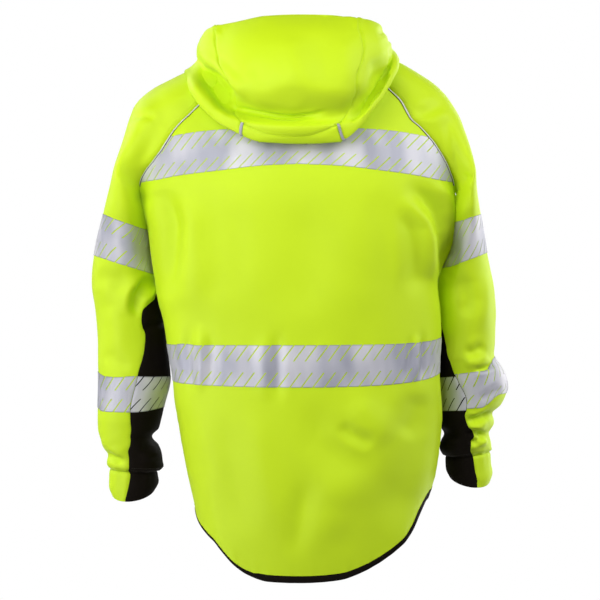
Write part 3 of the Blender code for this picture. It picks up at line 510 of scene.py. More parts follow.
SLEEVE_LEFT_LOW = [  # v, x_out, z_out, x_in, z_in, y_mid, deep_back, deep_front
    (18.6, 325.5, -530, 224, -533, -50, 57, 60),
    (19, 325, -546, 228, -547, -51, 54, 57),
    (19.35, 321.5, -560, 239, -559.5, -51, 52, 55),
    (19.7, 316.5, -573, 228.5, -573, -51, 50, 53),
    (20.3, 311, -594, 223, -595, -52, 46, 49),
    (20.7, 310, -604, 223, -607.5, -52, 43, 45),
    (21, 308.5, -611, 231, -616, -52, 38, 40),
    (21.3, 309.5, -622, 230.5, -624, -52, 37.5, 39.5),
    (21.65, 310.5, -638, 229.5, -632, -52, 36.5, 38.5),
    (22, 307, -649, 234, -641, -52, 35.5, 37.5)]
SLEEVE_RIGHT_LOW = [  # v, x_out, z_out, x_in, z_in, y_mid, deep_back, deep_front
    (15.3, 315.5, -425, 224, -433, -50, 70, 73),
    (15.6, 317.5, -433, 224, -441, -50, 69, 72),
    (15.85, 324, -442, 224, -456, -50, 68, 71),
    (16.2, 331.5, -455, 224, -466, -50, 67, 70),
    (16.6, 335.5, -467, 224, -478, -50, 66, 68),
    (17, 337, -479, 225, -488, -50, 65, 67),
    (17.6, 333.5, -493, 226, -503, -50, 63, 65),
    (18, 326, -509, 226, -515, -50, 61, 63),
    (18.5, 312.5, -523, 227, -529, -50, 58, 60),
    (19, 313.5, -538, 227.5, -543, -50, 54, 56),
    (19.4, 305.5, -554, 232.5, -556, -50, 51, 53),
    (19.7, 306.5, -562, 229, -566, -50, 49, 51),
    (20.2, 308.5, -573, 227.5, -578, -51, 46, 48),
    (21, 306.5, -584, 237, -591, -51, 38, 40),
    (21.5, 307.5, -604, 237.5, -604, -51, 36, 38),
    (21.8, 310, -617, 238, -611, -51, 35, 37),
    (22, 307, -627, 241, -617, -51, 34, 36)]
BLACK_LEFT_LOW = [(18, 0.487), (19, 0.435), (19.35, 0.395), (19.7, 0.50),
                  (20, 0.57), (20.9, 0.585),
                  (21.1, 0.535), (22, 0.65)]
BLACK_RIGHT_LOW = [(18, 0.40), (18.4, 0.42), (19, 0.477), (19.4, 0.635),
                   (20, 0.57), (20.6, 0.552), (21, 0.58), (22, 0.66)]


def finer(table, extra):
    first = extra[0][0]
    return [r for r in table if r[0] < first - 0.01] + extra


# the hood's panel seams, and the U seam where the centre panel meets the nape
CENTRE_AT[1] = smooth([(0, 33), (2, 33.5), (2.6, 32.5), (3, 32.5), (3.4, 37),
                       (3.8, 41.5), (4.2, 41), (4.7, 37), (5.0, 36.5),
                       (5.18, 40), (5.35, 44.5), (5.7, 48), (6.2, 51.5),
                       (7, 55), (9, 56)])
CENTRE_AT[-1] = smooth([(0, 27), (2, 27), (2.35, 24.5), (3.0, 21.5),
                        (3.3, 21.0), (3.65, 25), (4.2, 29), (4.6, 29.5),
                        (5.05, 28), (5.3, 28.8), (5.5, 31.8), (5.8, 33.8),
                        (6.4, 34.7), (6.9, 37.5), (9, 39)])
NAPE_SIDE[-1] = smooth([(0, 2.57), (0.2, 2.6), (0.55, 2.77), (0.8, 2.98),
                        (1, 3.3)])

for side, table in ((1, finer(SLEEVE_LEFT, SLEEVE_LEFT_LOW)),
                    (-1, finer(SLEEVE_RIGHT, SLEEVE_RIGHT_LOW))):
    ARM[side] = [smooth(table, c) for c in range(1, 3)]
    LOWER[side] = [smooth(table[9:], c) for c in range(3, 8)]
# the right sleeve's inner line meets the body right under the armpit
wide_inner = LOWER[-1][0]
LOWER[-1][0] = lambda v: wide_inner(v) - 3.2 * np.exp(-((v - 9.2) / 0.7) ** 2)
LEAN_AT = smooth([(0, 0), (20, 0), (21, 3), (22, 18)])
# the sleeve hugs the body below the underarm
HUG_AT = smooth([(9, -2.0), (9.3, -2.9), (9.8, -4.2), (10.5, -5.2), (11, -5.5),
                 (12, -5.5), (13, -4.0), (14, -0.5), (22, -0.5)])
BLACK_AT[1] = smooth(finer(BLACK_LEFT, BLACK_LEFT_LOW))
plain_sleeve = sleeve


def sleeve(v, a, side):
    """The sleeve's skin, eased along its length where the raglan part turns
    into the tube; its seam line stays as it is."""
    v, a = np.broadcast_arrays(np.asarray(v, float), np.asarray(a, float))
    reach = 0.3 * np.exp(-((v - 9.1) / 0.9) ** 2) * (1 - a ** 8)
    if reach.size == 0 or reach.max() < 1e-4:
        return plain_sleeve(v, a, side)
    total = 0.0
    for k in range(-4, 5):
        total = total + (5 - abs(k)) / 25 * plain_sleeve(v + k * reach, a, side)
    return total


BLACK_AT[-1] = smooth([(12.3, 0.0), (13.2, 0.006), (14, 0.03), (14.6, 0.06),
                       (15, 0.095), (16, 0.215)] + BLACK_RIGHT_LOW)

# ---------------------------------------------------------------------------
# Camera: the view plane is 1.6 mm for each of its 600 steps at the form's
# middle.  Creases are placed by their steps in this view, or in the same view
# from the front.
# ---------------------------------------------------------------------------

EYE = 4.5             # distance of the camera from the neck axis, m
EYE_Z = -0.3392       # its height
STEP = 0.0016         # metres a step at the middle plane


def in_view(point, back):
    """Steps across and down in the back view, or in the front view."""
    x, y, z = point[..., 0] * MM, point[..., 1] * MM, point[..., 2] * MM
    way = 1.0 if back else -1.0
    near = (EYE - way * y) / EYE
    return 300 - way * x / (STEP * near), 300 - (z - EYE_Z) / (STEP * near)


# creases: piece, view, half width in steps, height in mm (troughs negative),
# then the steps that the crease runs through
CREASES = [
    # back panel
    ("body", "back", 9, -10.0, [(160, 180), (168, 203), (175, 224), (173, 250),
                                (169, 275), (166, 302)]),
    ("body", "back", 12, 7.0, [(186, 186), (194, 222), (197, 262), (192, 312)]),
    ("body", "back", 9, -13.0, [(406, 180), (421, 194), (437, 213), (446, 238),
                                (447, 262), (445, 290)]),
    ("body", "back", 8, 6.5, [(396, 196), (414, 208), (428, 226), (434, 254),
                              (436, 290)]),
    ("body", "back", 9, -5.0, [(404, 204), (413, 232), (416, 262), (415, 300)]),
    ("body", "back", 7, 3.0, [(440, 182), (450, 200), (455, 224)]),
    ("body", "back", 14, -2.0, [(372, 190), (384, 225), (388, 280)]),
    ("body", "back", 4.5, -4.0, [(189, 322), (188, 355), (190, 395)]),
    ("body", "back", 4.5, 4.4, [(200, 320), (202, 358), (199, 396)]),
    ("body", "back", 5, -2.4, [(211, 330), (212, 358), (210, 390)]),
    ("body", "back", 7, 3.0, [(263, 330), (263, 362), (264, 405)]),
    ("body", "back", 6, -3.8, [(277, 326), (277, 362), (279, 405)]),
    ("body", "back", 8, 1.5, [(322, 330), (324, 360), (320, 395)]),
    ("body", "back", 7, -1.5, [(352, 330), (353, 360), (350, 400)]),
    ("body", "back", 6, -4.6, [(338, 423), (352, 434), (366, 441), (376, 443)]),
    ("body", "back", 13, 4.5, [(352, 398), (366, 416), (382, 431), (396, 440)]),
    ("body", "back", 15, -5.0, [(312, 396), (318, 440), (346, 466), (384, 470)]),
    ("body", "back", 12, -5.0, [(422, 392), (414, 420), (404, 440)]),
    ("body", "back", 3.2, 3.4, [(418, 332), (418, 356), (414, 382)]),
    ("body", "back", 3.0, -3.6, [(424.5, 328), (424, 354), (420, 384)]),
    ("body", "back", 2.6, -2.0, [(411, 334), (410, 356), (406, 380)]),
    ("body", "back", 17, -3.5, [(222, 410), (228, 470), (248, 540)]),
    ("body", "back", 16, 3.5, [(252, 400), (262, 460), (282, 545)]),
    ("body", "back", 9, -2.6, [(306, 480), (300, 520), (292, 562)]),
    ("body", "back", 12, 2.4, [(330, 470), (326, 515), (318, 560)]),
    ("body", "back", 27, -9.0, [(432, 385), (424, 430), (412, 480), (388, 535)]),
    ("body", "back", 20, 4.0, [(350, 452), (344, 490), (330, 545)]),
    ("body", "back", 10, -2.6, [(176, 405), (190, 440), (206, 490)]),
    ("body", "back", 20, -2.8, [(300, 200), (306, 250), (300, 320)]),
    ("body", "back", 22, 2.4, [(350, 205), (360, 260), (354, 325)]),
    ("body", "back", 12, -2.4, [(172, 300), (186, 318), (216, 334)]),
    ("body", "back", 10, -1.8, [(230, 200), (238, 245), (236, 300)]),
    # front panel
    ("body", "front", 12, -5.0, [(160, 190), (172, 230), (176, 290)]),
    ("body", "front", 12, -5.5, [(440, 195), (424, 238), (420, 300)]),
    ("body", "front", 15, -4.0, [(235, 215), (262, 260), (268, 330)]),
    ("body", "front", 17, 3.5, [(330, 205), (338, 255), (330, 325)]),
    ("body", "front", 13, -3.0, [(372, 190), (384, 240), (378, 310)]),
    ("body", "front", 8, -3.4, [(205, 396), (250, 414), (300, 420)]),
    ("body", "front", 10, 2.4, [(215, 384), (258, 398), (305, 402)]),
    ("body", "front", 9, -2.8, [(330, 436), (370, 428), (402, 406)]),
    ("body", "front", 18, 3.0, [(225, 420), (232, 450), (226, 490)]),
    ("body", "front", 16, -3.4, [(370, 395), (362, 440), (368, 490)]),
    ("body", "front", 8, -2.6, [(240, 142), (300, 156), (360, 142)]),
    ("body", "front", 6, -2.4, [(232, 330), (233, 360), (230, 398)]),
    ("body", "front", 6, 2.0, [(312, 330), (313, 360), (316, 400)]),
    # wearer's left sleeve
    ("sleeve_left", "back", 9, -3.2, [(172, 104), (158, 124), (150, 146), (141, 172)]),
    ("sleeve_left", "back", 3.5, -3.0, [(130, 116), (140, 115.5), (156, 116)]),
    ("sleeve_left", "back", 7, 1.6, [(140, 124), (133, 142), (128, 165)]),
    ("sleeve_left", "back", 5.0, 7.5, [(139, 196), (143, 210), (147, 226),
                                       (150, 242), (153, 258)]),
    ("sleeve_left", "back", 8, -3.6, [(97, 272), (112, 281), (128, 292)]),
    ("sleeve_left", "back", 4.5, -9.0, [(154, 279), (144, 285), (137, 295),
                                        (135.5, 306), (139, 318)]),
    ("sleeve_left", "back", 3.0, 5.0, [(159, 284), (151, 293), (143, 305)]),
    ("sleeve_left", "back", 7, 4.5, [(124, 318), (125, 300), (130, 286), (142, 276)]),
    ("sleeve_left", "back", 3.5, -4.0, [(140, 330), (152, 326), (168, 321)]),
    ("sleeve_left", "back", 9, 3.0, [(108, 305), (118, 325), (120, 355)]),
    ("sleeve_left", "back", 6, -2.5, [(104, 350), (116, 362), (132, 368)]),
    ("sleeve_left", "back", 3, -5.0, [(105, 450), (114, 457), (126, 463)]),
    ("sleeve_left", "back", 5, 3.5, [(102, 438), (113, 447), (127, 455)]),
    ("sleeve_left", "back", 4.5, -3.5, [(160, 439), (150, 445), (140, 447)]),
    ("sleeve_left", "back", 4, 3.0, [(161, 452), (150, 457), (138, 457)]),
    ("sleeve_left", "front", 7, -5.0, [(436, 110), (448, 140), (456, 172)]),
    ("sleeve_left", "front", 8, -4.5, [(500, 250), (486, 266), (470, 274)]),
    ("sleeve_left", "front", 5, -7.0, [(496, 326), (484, 314), (470, 300)]),
    ("sleeve_left", "front", 6, 4.0, [(494, 342), (482, 334), (466, 322)]),
    ("sleeve_left", "front", 4, -5.0, [(495, 430), (482, 440), (468, 452)]),
    ("sleeve_left", "front", 9, -3.0, [(480, 370), (474, 395), (478, 425)]),
    # wearer's right sleeve
    ("sleeve_right", "back", 6, -3.0, [(412, 114), (428, 111), (448, 103)]),
    ("sleeve_right", "back", 6, 1.8, [(418, 126), (434, 120), (450, 110)]),
    ("sleeve_right", "back", 5, -3.0, [(447, 112), (449, 128), (451, 150), (456, 180)]),
    ("sleeve_right", "back", 5.0, 8.0, [(454, 168), (457, 186), (459, 204),
                                        (458, 226), (454, 250)]),
    ("sleeve_right", "back", 4, -3.0, [(462, 178), (468, 178), (476, 180)]),
    ("sleeve_right", "back", 4.0, 5.0, [(453, 252), (447, 263), (443, 274),
                                        (442, 286)]),
    ("sleeve_right", "back", 8, -4.5, [(456, 276), (464, 286), (468, 300), (464, 318)]),
    ("sleeve_right", "back", 8, 3.0, [(484, 272), (484, 302), (480, 334)]),
    ("sleeve_right", "back", 5, -4.0, [(462, 352), (474, 352), (486, 344)]),
    ("sleeve_right", "back", 5, 4.0, [(462, 364), (476, 362), (490, 356)]),
    ("sleeve_right", "back", 2.6, -4.5, [(474, 371), (486, 368), (497, 362)]),
    ("sleeve_right", "back", 4, -3.5, [(478, 402), (490, 394), (504, 386)]),
    ("sleeve_right", "back", 3.0, -7.0, [(466, 421), (477, 419), (485, 416),
                                         (492, 413)]),
    ("sleeve_right", "back", 4.0, 4.5, [(464, 428), (475, 428), (488, 422)]),
    ("sleeve_right", "back", 2.8, -6.0, [(464, 431), (474, 431.5), (482, 435),
                                         (488, 435)]),
    ("sleeve_right", "back", 3.0, 4.0, [(474, 438), (480, 441), (487, 440)]),
    ("sleeve_right", "back", 3.2, 3.5, [(466, 448), (478, 446), (488, 442)]),
    ("sleeve_right", "back", 2.2, -4.5, [(468, 443), (475, 441), (482, 437)]),
    ("sleeve_right", "back", 1.6, -2.4, [(471, 455), (480, 453.5), (490, 450)]),
    ("sleeve_right", "back", 5, -3.5, [(437, 431), (448, 434), (460, 432)]),
    ("sleeve_right", "back", 5, 3.0, [(438, 448), (452, 447), (464, 445)]),
    ("sleeve_right", "front", 7, -5.0, [(162, 112), (151, 142), (145, 172)]),
    ("sleeve_right", "front", 8, -4.5, [(120, 255), (134, 268), (150, 274)]),
    ("sleeve_right", "front", 5, -7.0, [(104, 330), (118, 318), (132, 302)]),
    ("sleeve_right", "front", 4, -6.0, [(100, 412), (114, 416), (130, 424)]),
    ("sleeve_right", "front", 5, 4.5, [(98, 421), (114, 427), (130, 434)]),
    ("sleeve_right", "front", 3.4, -5.5, [(106, 435), (120, 440), (134, 444)]),
]


def rise(x, low, high):
    t = np.clip((x - low) / (high - low), 0, 1)
    return t * t * (3 - 2 * t)


def crease(px, py, wide, path):
    """Profile of one crease: 1 in its line, a slight shoulder on each side,
    fading to its two ends."""
    path = np.array(path, float)
    long = np.linalg.norm(np.diff(path, axis=0), axis=1)
    start = np.concatenate([[0], np.cumsum(long)])
    best = np.full(px.shape, 1e9)
    along = np.zeros(px.shape)
    for i in range(len(long)):
        a, d = path[i], (path[i + 1] - path[i]) / long[i]
        t = np.clip((px - a[0]) * d[0] + (py - a[1]) * d[1], 0, long[i])
        far = np.hypot(px - a[0] - t * d[0], py - a[1] - t * d[1])
        near = far < best
        best = np.where(near, far, best)
        along = np.where(near, start[i] + t, along)
    t = along / start[-1]
    fade = rise(t, -0.02, 0.3) * rise(1 - t, -0.02, 0.3)
    q = best / wide
    return fade * (np.exp(-q * q) - 0.22 * np.exp(-(q - 2.0) ** 2 * 1.6))


rng = np.random.default_rng(7)
WAVES = []
for size, high, count in ((230, 1.3, 5), (120, 0.55, 7), (55, 0.16, 8)):
    for _ in range(count):
        way = rng.normal(size=3)
        way /= np.linalg.norm(way)
        WAVES.append((way * 2 * math.pi / (size * rng.uniform(0.8, 1.25)),
                      rng.uniform(0, 2 * math.pi),
                      high / math.sqrt(count) * 1.2))


def undulation(point):
    """Slow uneven waves of the cloth, in mm, the same for touching pieces."""
    out = np.zeros(point.shape[:-1])
    for way, phase, high in WAVES:
        out += high * np.sin(point @ way + phase)
    return out


def hang(point, way, group):
    """Height of the creases over the form, in mm."""
    lift = np.zeros(point.shape[:-1])
    for name, view, wide, high, path in CREASES:
        if name != group:
            continue
        back = view == "back"
        px, py = in_view(point, back)
        facing = way[..., 1] * (1 if back else -1)
        w = rise(facing, -0.25, 0.25)
        path = np.array(path, float)
        reach = 3.2 * wide
        near = ((px > path[:, 0].min() - reach) & (px < path[:, 0].max() + reach)
                & (py > path[:, 1].min() - reach) & (py < path[:, 1].max() + reach)
                & (w > 0))
        if near.any():
            lift[near] += w[near] * high * crease(px[near], py[near], wide, path)
    return lift


# ---------------------------------------------------------------------------
# Meshes
# ---------------------------------------------------------------------------


def even(curve, low, high, step, keep=()):
    """Values from low to high whose points lie about one step apart."""
    stops = sorted({low, high, *keep})
    values = [stops[0]]
    for a, b in zip(stops[:-1], stops[1:]):
        t = np.linspace(a, b, 400)
        pts = curve(t)
        run = np.concatenate([[0], np.cumsum(np.linalg.norm(
            np.diff(pts, axis=0), axis=1))])
        n = max(2, int(round(run[-1] / step)))
        values += list(np.interp(np.linspace(0, run[-1], n + 1)[1:], run, t))
    return np.array(values)


def grid_way(point):
    """Outward normals of a grid of points, rows first."""
    a = np.gradient(point, axis=1)
    b = np.gradient(point, axis=0)
    n = np.cross(a, b)
    return n / np.maximum(np.linalg.norm(n, axis=-1, keepdims=True), 1e-9)


def sheet_mesh(name, outer, inner, mat, uv, keep=None, edge=None):
    """A closed thin shell from two grids of points in mm.  keep says which
    cells there are."""
    nv, nu = outer.shape[:2]
    if keep is None:
        keep = np.ones((nv - 1, nu - 1), bool)
    index = np.arange(nv * nu).reshape(nv, nu)
    quads = np.stack([index[:-1, :-1], index[1:, :-1], index[1:, 1:],
                      index[:-1, 1:]], -1)[keep]
    edges = np.concatenate([quads[:, [i, (i + 1) % 4]] for i in range(4)])
    key = np.sort(edges, axis=1)
    _, where, count = np.unique(key[:, 0] * (nv * nu) + key[:, 1],
                                return_index=True, return_counts=True)
    rim = edges[where[count == 1]]
    low = nv * nu
    walls = np.stack([rim[:, 1], rim[:, 0], rim[:, 0] + low, rim[:, 1] + low],
                     -1)
    faces = np.concatenate([quads, quads[:, ::-1] + low, walls])
    points = np.concatenate([outer.reshape(-1, 3), inner.reshape(-1, 3)]) * MM
    used = np.zeros(len(points), bool)
    used[faces.ravel()] = True
    number = np.cumsum(used) - 1
    points, faces = points[used], number[faces]
    mesh = bpy.data.meshes.new(name)
    mesh.vertices.add(len(points))
    mesh.vertices.foreach_set("co", points.astype(np.float32).ravel())
    mesh.loops.add(faces.size)
    mesh.loops.foreach_set("vertex_index", faces.astype(np.int32).ravel())
    mesh.polygons.add(len(faces))
    mesh.polygons.foreach_set("loop_start", np.arange(0, faces.size, 4,
                                                      dtype=np.int32))
    mesh.update(calc_edges=True)
    flat = np.concatenate([uv.reshape(-1, 2)] * 2)[used]
    layer = mesh.uv_layers.new(name="cloth")
    layer.data.foreach_set("uv", flat[faces.ravel()].astype(np.float32).ravel())
    if edge is not None:
        flat = np.concatenate([edge.reshape(-1, 2)] * 2)[used]
        layer = mesh.uv_layers.new(name="edge")
        layer.data.foreach_set("uv", flat[faces.ravel()].astype(
            np.float32).ravel())
    mesh.validate()
    volume = bmesh.new()
    volume.from_mesh(mesh)
    if volume.calc_volume(signed=True) < 0:
        bmesh.ops.reverse_faces(volume, faces=volume.faces[:])
        volume.to_mesh(mesh)
    volume.free()
    mesh.shade_smooth()
    mesh.set_sharp_from_angle(angle=math.radians(50))
    mesh.materials.append(mat)
    obj = bpy.data.objects.new(name, mesh)
    bpy.context.scene.collection.objects.link(obj)
    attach(obj, "root")
    return obj


def run_lengths(point):
    """UV of a grid of points: lengths along its rows and columns, metres."""
    du = np.linalg.norm(np.diff(point, axis=1), axis=-1)
    dv = np.linalg.norm(np.diff(point, axis=0), axis=-1)
    mid = point.shape[1] // 2
    u = np.zeros(point.shape[:2])
    u[:, 1:] = np.cumsum(du, axis=1)
    u -= u[:, mid:mid + 1]
    v = np.zeros(point.shape[:2])
    v[1:, :] = np.cumsum(dv, axis=0)
    v = np.repeat(v[:, mid:mid + 1], point.shape[1], axis=1)
    return np.stack([u, -v], -1) * MM


def edge_roll(gap, deep=1.2, wide=3.0):
    """How far cloth is pulled down next to a seam, by the distance in mm."""
    return -deep * np.exp(-(gap / wide) ** 2)


def pucker(along, gap, high=0.35, wide=9.0, phase=0.0):
    """Small uneven ripples that run away from a seam."""
    wave = (np.sin(along / 2.9 + phase) + 0.7 * np.sin(along / 4.7 + 2 * phase)
            + 0.5 * np.sin(along / 8.1 + 1.3))
    return high * wave * np.exp(-(gap / wide) ** 2)


def half_length(row, side, back):
    row = np.asarray(row, float)
    u = np.linspace(0, 1, 33) * side
    pts = body(row[..., None], u, back)
    return np.linalg.norm(np.diff(pts, axis=-2), axis=-1).sum(-1)


LENGTH_ROWS = np.linspace(0, 20, 81)
LENGTH_AT = {(s, b): half_length(LENGTH_ROWS, s, b)
             for s in (1, -1) for b in (True, False)}


def seam_run(row, side, back):
    """Half length of a body panel's row."""
    return np.where(side > 0, np.interp(row, LENGTH_ROWS, LENGTH_AT[(1, back)]),
                    np.interp(row, LENGTH_ROWS, LENGTH_AT[(-1, back)]))


def body_way(row, u, back):
    flip = 1.0 if back else -1.0
    return normals(lambda p, q: body(q, p, back), u, row, flip, 0.004, 0.04)


def sleeve_way(v, a, side):
    return normals(lambda p, q: sleeve(q, p, side), a, v, side, 0.004, 0.03)


def body_edge_way(row, u, back):
    """Body normal, which meets the sleeve's on the raglan seam."""
    n = body_way(row, u, back)
    side = np.where(u >= 0, 1, -1)
    gap = (1 - np.abs(u)) * seam_run(row, side, back)
    for s in (1, -1):
        at = (side == s) & (gap < 25) & (row < 9)
        if at.any():
            m = sleeve_way(row[at], np.full(at.sum(), -0.999 if back
                                            else 0.999), s)
            w = (0.5 * np.clip((9.0 - row[at]) / 3.0, 0, 1)
                 * (1 - rise(gap[at], 0, 25)))[:, None]
            mix = n[at] * (1 - w) + m * w
            n[at] = mix / np.linalg.norm(mix, axis=-1, keepdims=True)
    return n


def sleeve_edge_way(v, a, side):
    n = sleeve_way(v, a, side)
    for back in (True, False):
        far = (1 + a) if back else (1 - a)
        at = (v < 9) & (far < 0.12)
        if at.any():
            m = body_way(v[at], np.full(at.sum(), side * 0.999), back)
            w = (0.5 * np.clip((9.0 - v[at]) / 3.0, 0, 1)
                 * (1 - rise(far[at], 0, 0.12)))[:, None]
            mix = n[at] * (1 - w) + m * w
            n[at] = mix / np.linalg.norm(mix, axis=-1, keepdims=True)
    return n


# ---------------------------------------------------------------------------
# Materials
# ---------------------------------------------------------------------------


def new_material(name):
    mat = bpy.data.materials.new(name)
    mat.use_nodes = True
    tree = mat.node_tree
    return mat, tree, tree.nodes["Principled BSDF"]


def add(tree, kind, at=None, **values):
    node = tree.nodes.new(kind)
    for key, value in values.items():
        if hasattr(node, key):
            setattr(node, key, value)
        else:
            node.inputs[key].default_value = value
    return node


def math_node(tree, op, a, b=None, c=None):
    node = tree.nodes.new("ShaderNodeMath")
    node.operation = op
    for i, value in enumerate((a, b, c)):
        if value is None:
            continue
        if isinstance(value, (int, float)):
            node.inputs[i].default_value = value
        else:
            tree.links.new(value, node.inputs[i])
    return node.outputs[0]


def noise(tree, vector, scale, detail=2.0, rough=0.5):
    node = add(tree, "ShaderNodeTexNoise")
    node.inputs["Scale"].default_value = scale
    node.inputs["Detail"].default_value = detail
    node.inputs["Roughness"].default_value = rough
    tree.links.new(vector, node.inputs["Vector"])
    return node.outputs["Fac"]


def mixed(tree, fac, a, b):
    node = tree.nodes.new("ShaderNodeMix")
    node.data_type = "RGBA"
    for socket, value in ((node.inputs[6], a), (node.inputs[7], b)):
        if isinstance(value, tuple):
            socket.default_value = (*value, 1)
        else:
            tree.links.new(value, socket)
    if isinstance(fac, float):
        node.inputs[0].default_value = fac
    else:
        tree.links.new(fac, node.inputs[0])
    return node.outputs[2]


def fleece(name, light, deep, sheen, painted_glow=(0, 0, 0), gloss=0.35, rough=0.5,
           tint=(1.0, 1.0, 0.86)):
    """Smooth knitted fleece face: fine wales, soft nap, slow colour drift, and an
    optional painted glow that lifts its shadows.
    """
    mat, tree, shader = new_material(name)
    coord = add(tree, "ShaderNodeTexCoord")
    place = coord.outputs["Object"]
    uv = add(tree, "ShaderNodeUVMap")
    uv.uv_map = "cloth"
    split = add(tree, "ShaderNodeSeparateXYZ")
    tree.links.new(uv.outputs["UV"], split.inputs[0])
    # wales 1.15 mm apart, courses 0.9 mm apart, as rows of small loops
    wale = math_node(tree, "SINE", math_node(
        tree, "MULTIPLY", split.outputs["X"], 2 * math.pi / 0.00115))
    course = math_node(tree, "SINE", math_node(
        tree, "ADD", math_node(tree, "MULTIPLY", split.outputs["Y"],
                               2 * math.pi / 0.0009),
        math_node(tree, "MULTIPLY", wale, 0.9)))
    loops = math_node(tree, "MULTIPLY_ADD", wale, 0.6,
                      math_node(tree, "MULTIPLY", course, 0.4))
    nap = noise(tree, place, 1500, 3.0, 0.7)
    soft = noise(tree, place, 140, 3.0, 0.6)
    slow = noise(tree, place, 9, 2.0, 0.5)
    fac = math_node(tree, "MULTIPLY_ADD", slow, 0.9,
                    math_node(tree, "MULTIPLY_ADD", soft, 0.35,
                              math_node(tree, "MULTIPLY", nap, 0.25)))
    fac = math_node(tree, "SUBTRACT", fac, 0.28)
    fac = math_node(tree, "MULTIPLY_ADD", loops, 0.05, fac)
    clamp = add(tree, "ShaderNodeClamp")
    tree.links.new(fac, clamp.inputs[0])
    tree.links.new(mixed(tree, clamp.outputs[0], deep, light),
                   shader.inputs["Base Color"])
    height = math_node(tree, "MULTIPLY_ADD", nap, 0.7,
                       math_node(tree, "MULTIPLY", loops, 0.25))
    bump = add(tree, "ShaderNodeBump")
    bump.inputs["Strength"].default_value = 0.3
    bump.inputs["Distance"].default_value = 0.0002
    tree.links.new(height, bump.inputs["Height"])
    tree.links.new(bump.outputs[0], shader.inputs["Normal"])
    tree.links.new(math_node(tree, "MULTIPLY_ADD", soft, 0.1, rough - 0.05),
                   shader.inputs["Roughness"])
    shader.inputs["Specular IOR Level"].default_value = gloss
    shader.inputs["Sheen Weight"].default_value = sheen
    shader.inputs["Sheen Roughness"].default_value = 0.5
    shader.inputs["Sheen Tint"].default_value = (*tint, 1)
    # painted light: a flat emission, the same under any lamp, stands in for the dye's
    # fluorescence and bounce light and lifts the cloth's shadows
    if max(painted_glow) > 0:
        shader.inputs["Emission Color"].default_value = (*painted_glow, 1)
        shader.inputs["Emission Strength"].default_value = 1.0
    return mat


def reflective(name, light, deep, rough=0.48, metal=0.18):
    """Grey glass-bead tape: fine grain, soft mottling, a satin shine, and painted
    shade, a darker line, along its cut edges."""
    mat, tree, shader = new_material(name)
    coord = add(tree, "ShaderNodeTexCoord")
    place = coord.outputs["Object"]
    tall = add(tree, "ShaderNodeVectorMath")
    tall.operation = "MULTIPLY"
    tall.inputs[1].default_value = (1.0, 1.0, 0.42)
    tree.links.new(place, tall.inputs[0])
    bead = noise(tree, place, 2600, 2.0, 0.8)
    mottle = noise(tree, tall.outputs[0], 34, 1.0, 0.4)
    slow = noise(tree, tall.outputs[0], 15, 1.0, 0.4)
    fac = math_node(tree, "MULTIPLY_ADD", mottle, 1.5,
                    math_node(tree, "MULTIPLY_ADD", slow, 2.2,
                              math_node(tree, "MULTIPLY", bead, 0.12)))
    fac = math_node(tree, "SUBTRACT", fac, 1.41)
    clamp = add(tree, "ShaderNodeClamp")
    tree.links.new(fac, clamp.inputs[0])
    grey = mixed(tree, clamp.outputs[0], deep, light)
    edge = add(tree, "ShaderNodeUVMap")
    edge.uv_map = "edge"
    split = add(tree, "ShaderNodeSeparateXYZ")
    tree.links.new(edge.outputs["UV"], split.inputs[0])
    # painted shade: within 1.4 mm of the tape's long edges the colour darkens towards
    # 0.3 of the deep grey, as a thin edge shadow
    near = add(tree, "ShaderNodeMapRange")
    near.inputs["From Min"].default_value = 0.0005
    near.inputs["From Max"].default_value = 0.0014
    near.inputs["To Min"].default_value = 0.55
    near.inputs["To Max"].default_value = 0.0
    tree.links.new(split.outputs["X"], near.inputs["Value"])
    tree.links.new(mixed(tree, near.outputs[0], grey,
                         tuple(0.3 * v for v in deep)),
                   shader.inputs["Base Color"])
    bump = add(tree, "ShaderNodeBump")
    bump.inputs["Strength"].default_value = 0.25
    bump.inputs["Distance"].default_value = 0.0001
    tree.links.new(bead, bump.inputs["Height"])
    tree.links.new(bump.outputs[0], shader.inputs["Normal"])
    tree.links.new(math_node(tree, "MULTIPLY_ADD", mottle, 0.22, rough - 0.11),
                   shader.inputs["Roughness"])
    shader.inputs["Metallic"].default_value = metal
    shader.inputs["Specular IOR Level"].default_value = 0.5
    return mat


def cord_look(name):
    """Reflective piping: painted highlight along its crown, painted shade where it
    turns under.
    """
    mat, tree, shader = new_material(name)
    uv = add(tree, "ShaderNodeUVMap")
    uv.uv_map = "cloth"
    split = add(tree, "ShaderNodeSeparateXYZ")
    tree.links.new(uv.outputs["UV"], split.inputs[0])
    # X runs from -1 to 1 across the piping
    off = math_node(tree, "ABSOLUTE", split.outputs["X"])
    # painted highlight on the cord's crown and painted shade along both its sides, set
    # by the distance across the cord
    ramp = add(tree, "ShaderNodeValToRGB")
    ramp.color_ramp.elements[0].position = 0.5
    ramp.color_ramp.elements[0].color = (0.56, 0.56, 0.52, 1)
    ramp.color_ramp.elements[1].position = 0.78
    ramp.color_ramp.elements[1].color = (0.09, 0.10, 0.075, 1)
    tree.links.new(off, ramp.inputs[0])
    tree.links.new(ramp.outputs[0], shader.inputs["Base Color"])
    coord = add(tree, "ShaderNodeTexCoord")
    grain = noise(tree, coord.outputs["Object"], 1800, 2.0, 0.7)
    bump = add(tree, "ShaderNodeBump")
    bump.inputs["Strength"].default_value = 0.3
    bump.inputs["Distance"].default_value = 0.0001
    tree.links.new(grain, bump.inputs["Height"])
    tree.links.new(bump.outputs[0], shader.inputs["Normal"])
    shader.inputs["Roughness"].default_value = 0.5
    shader.inputs["Metallic"].default_value = 0.2
    return mat
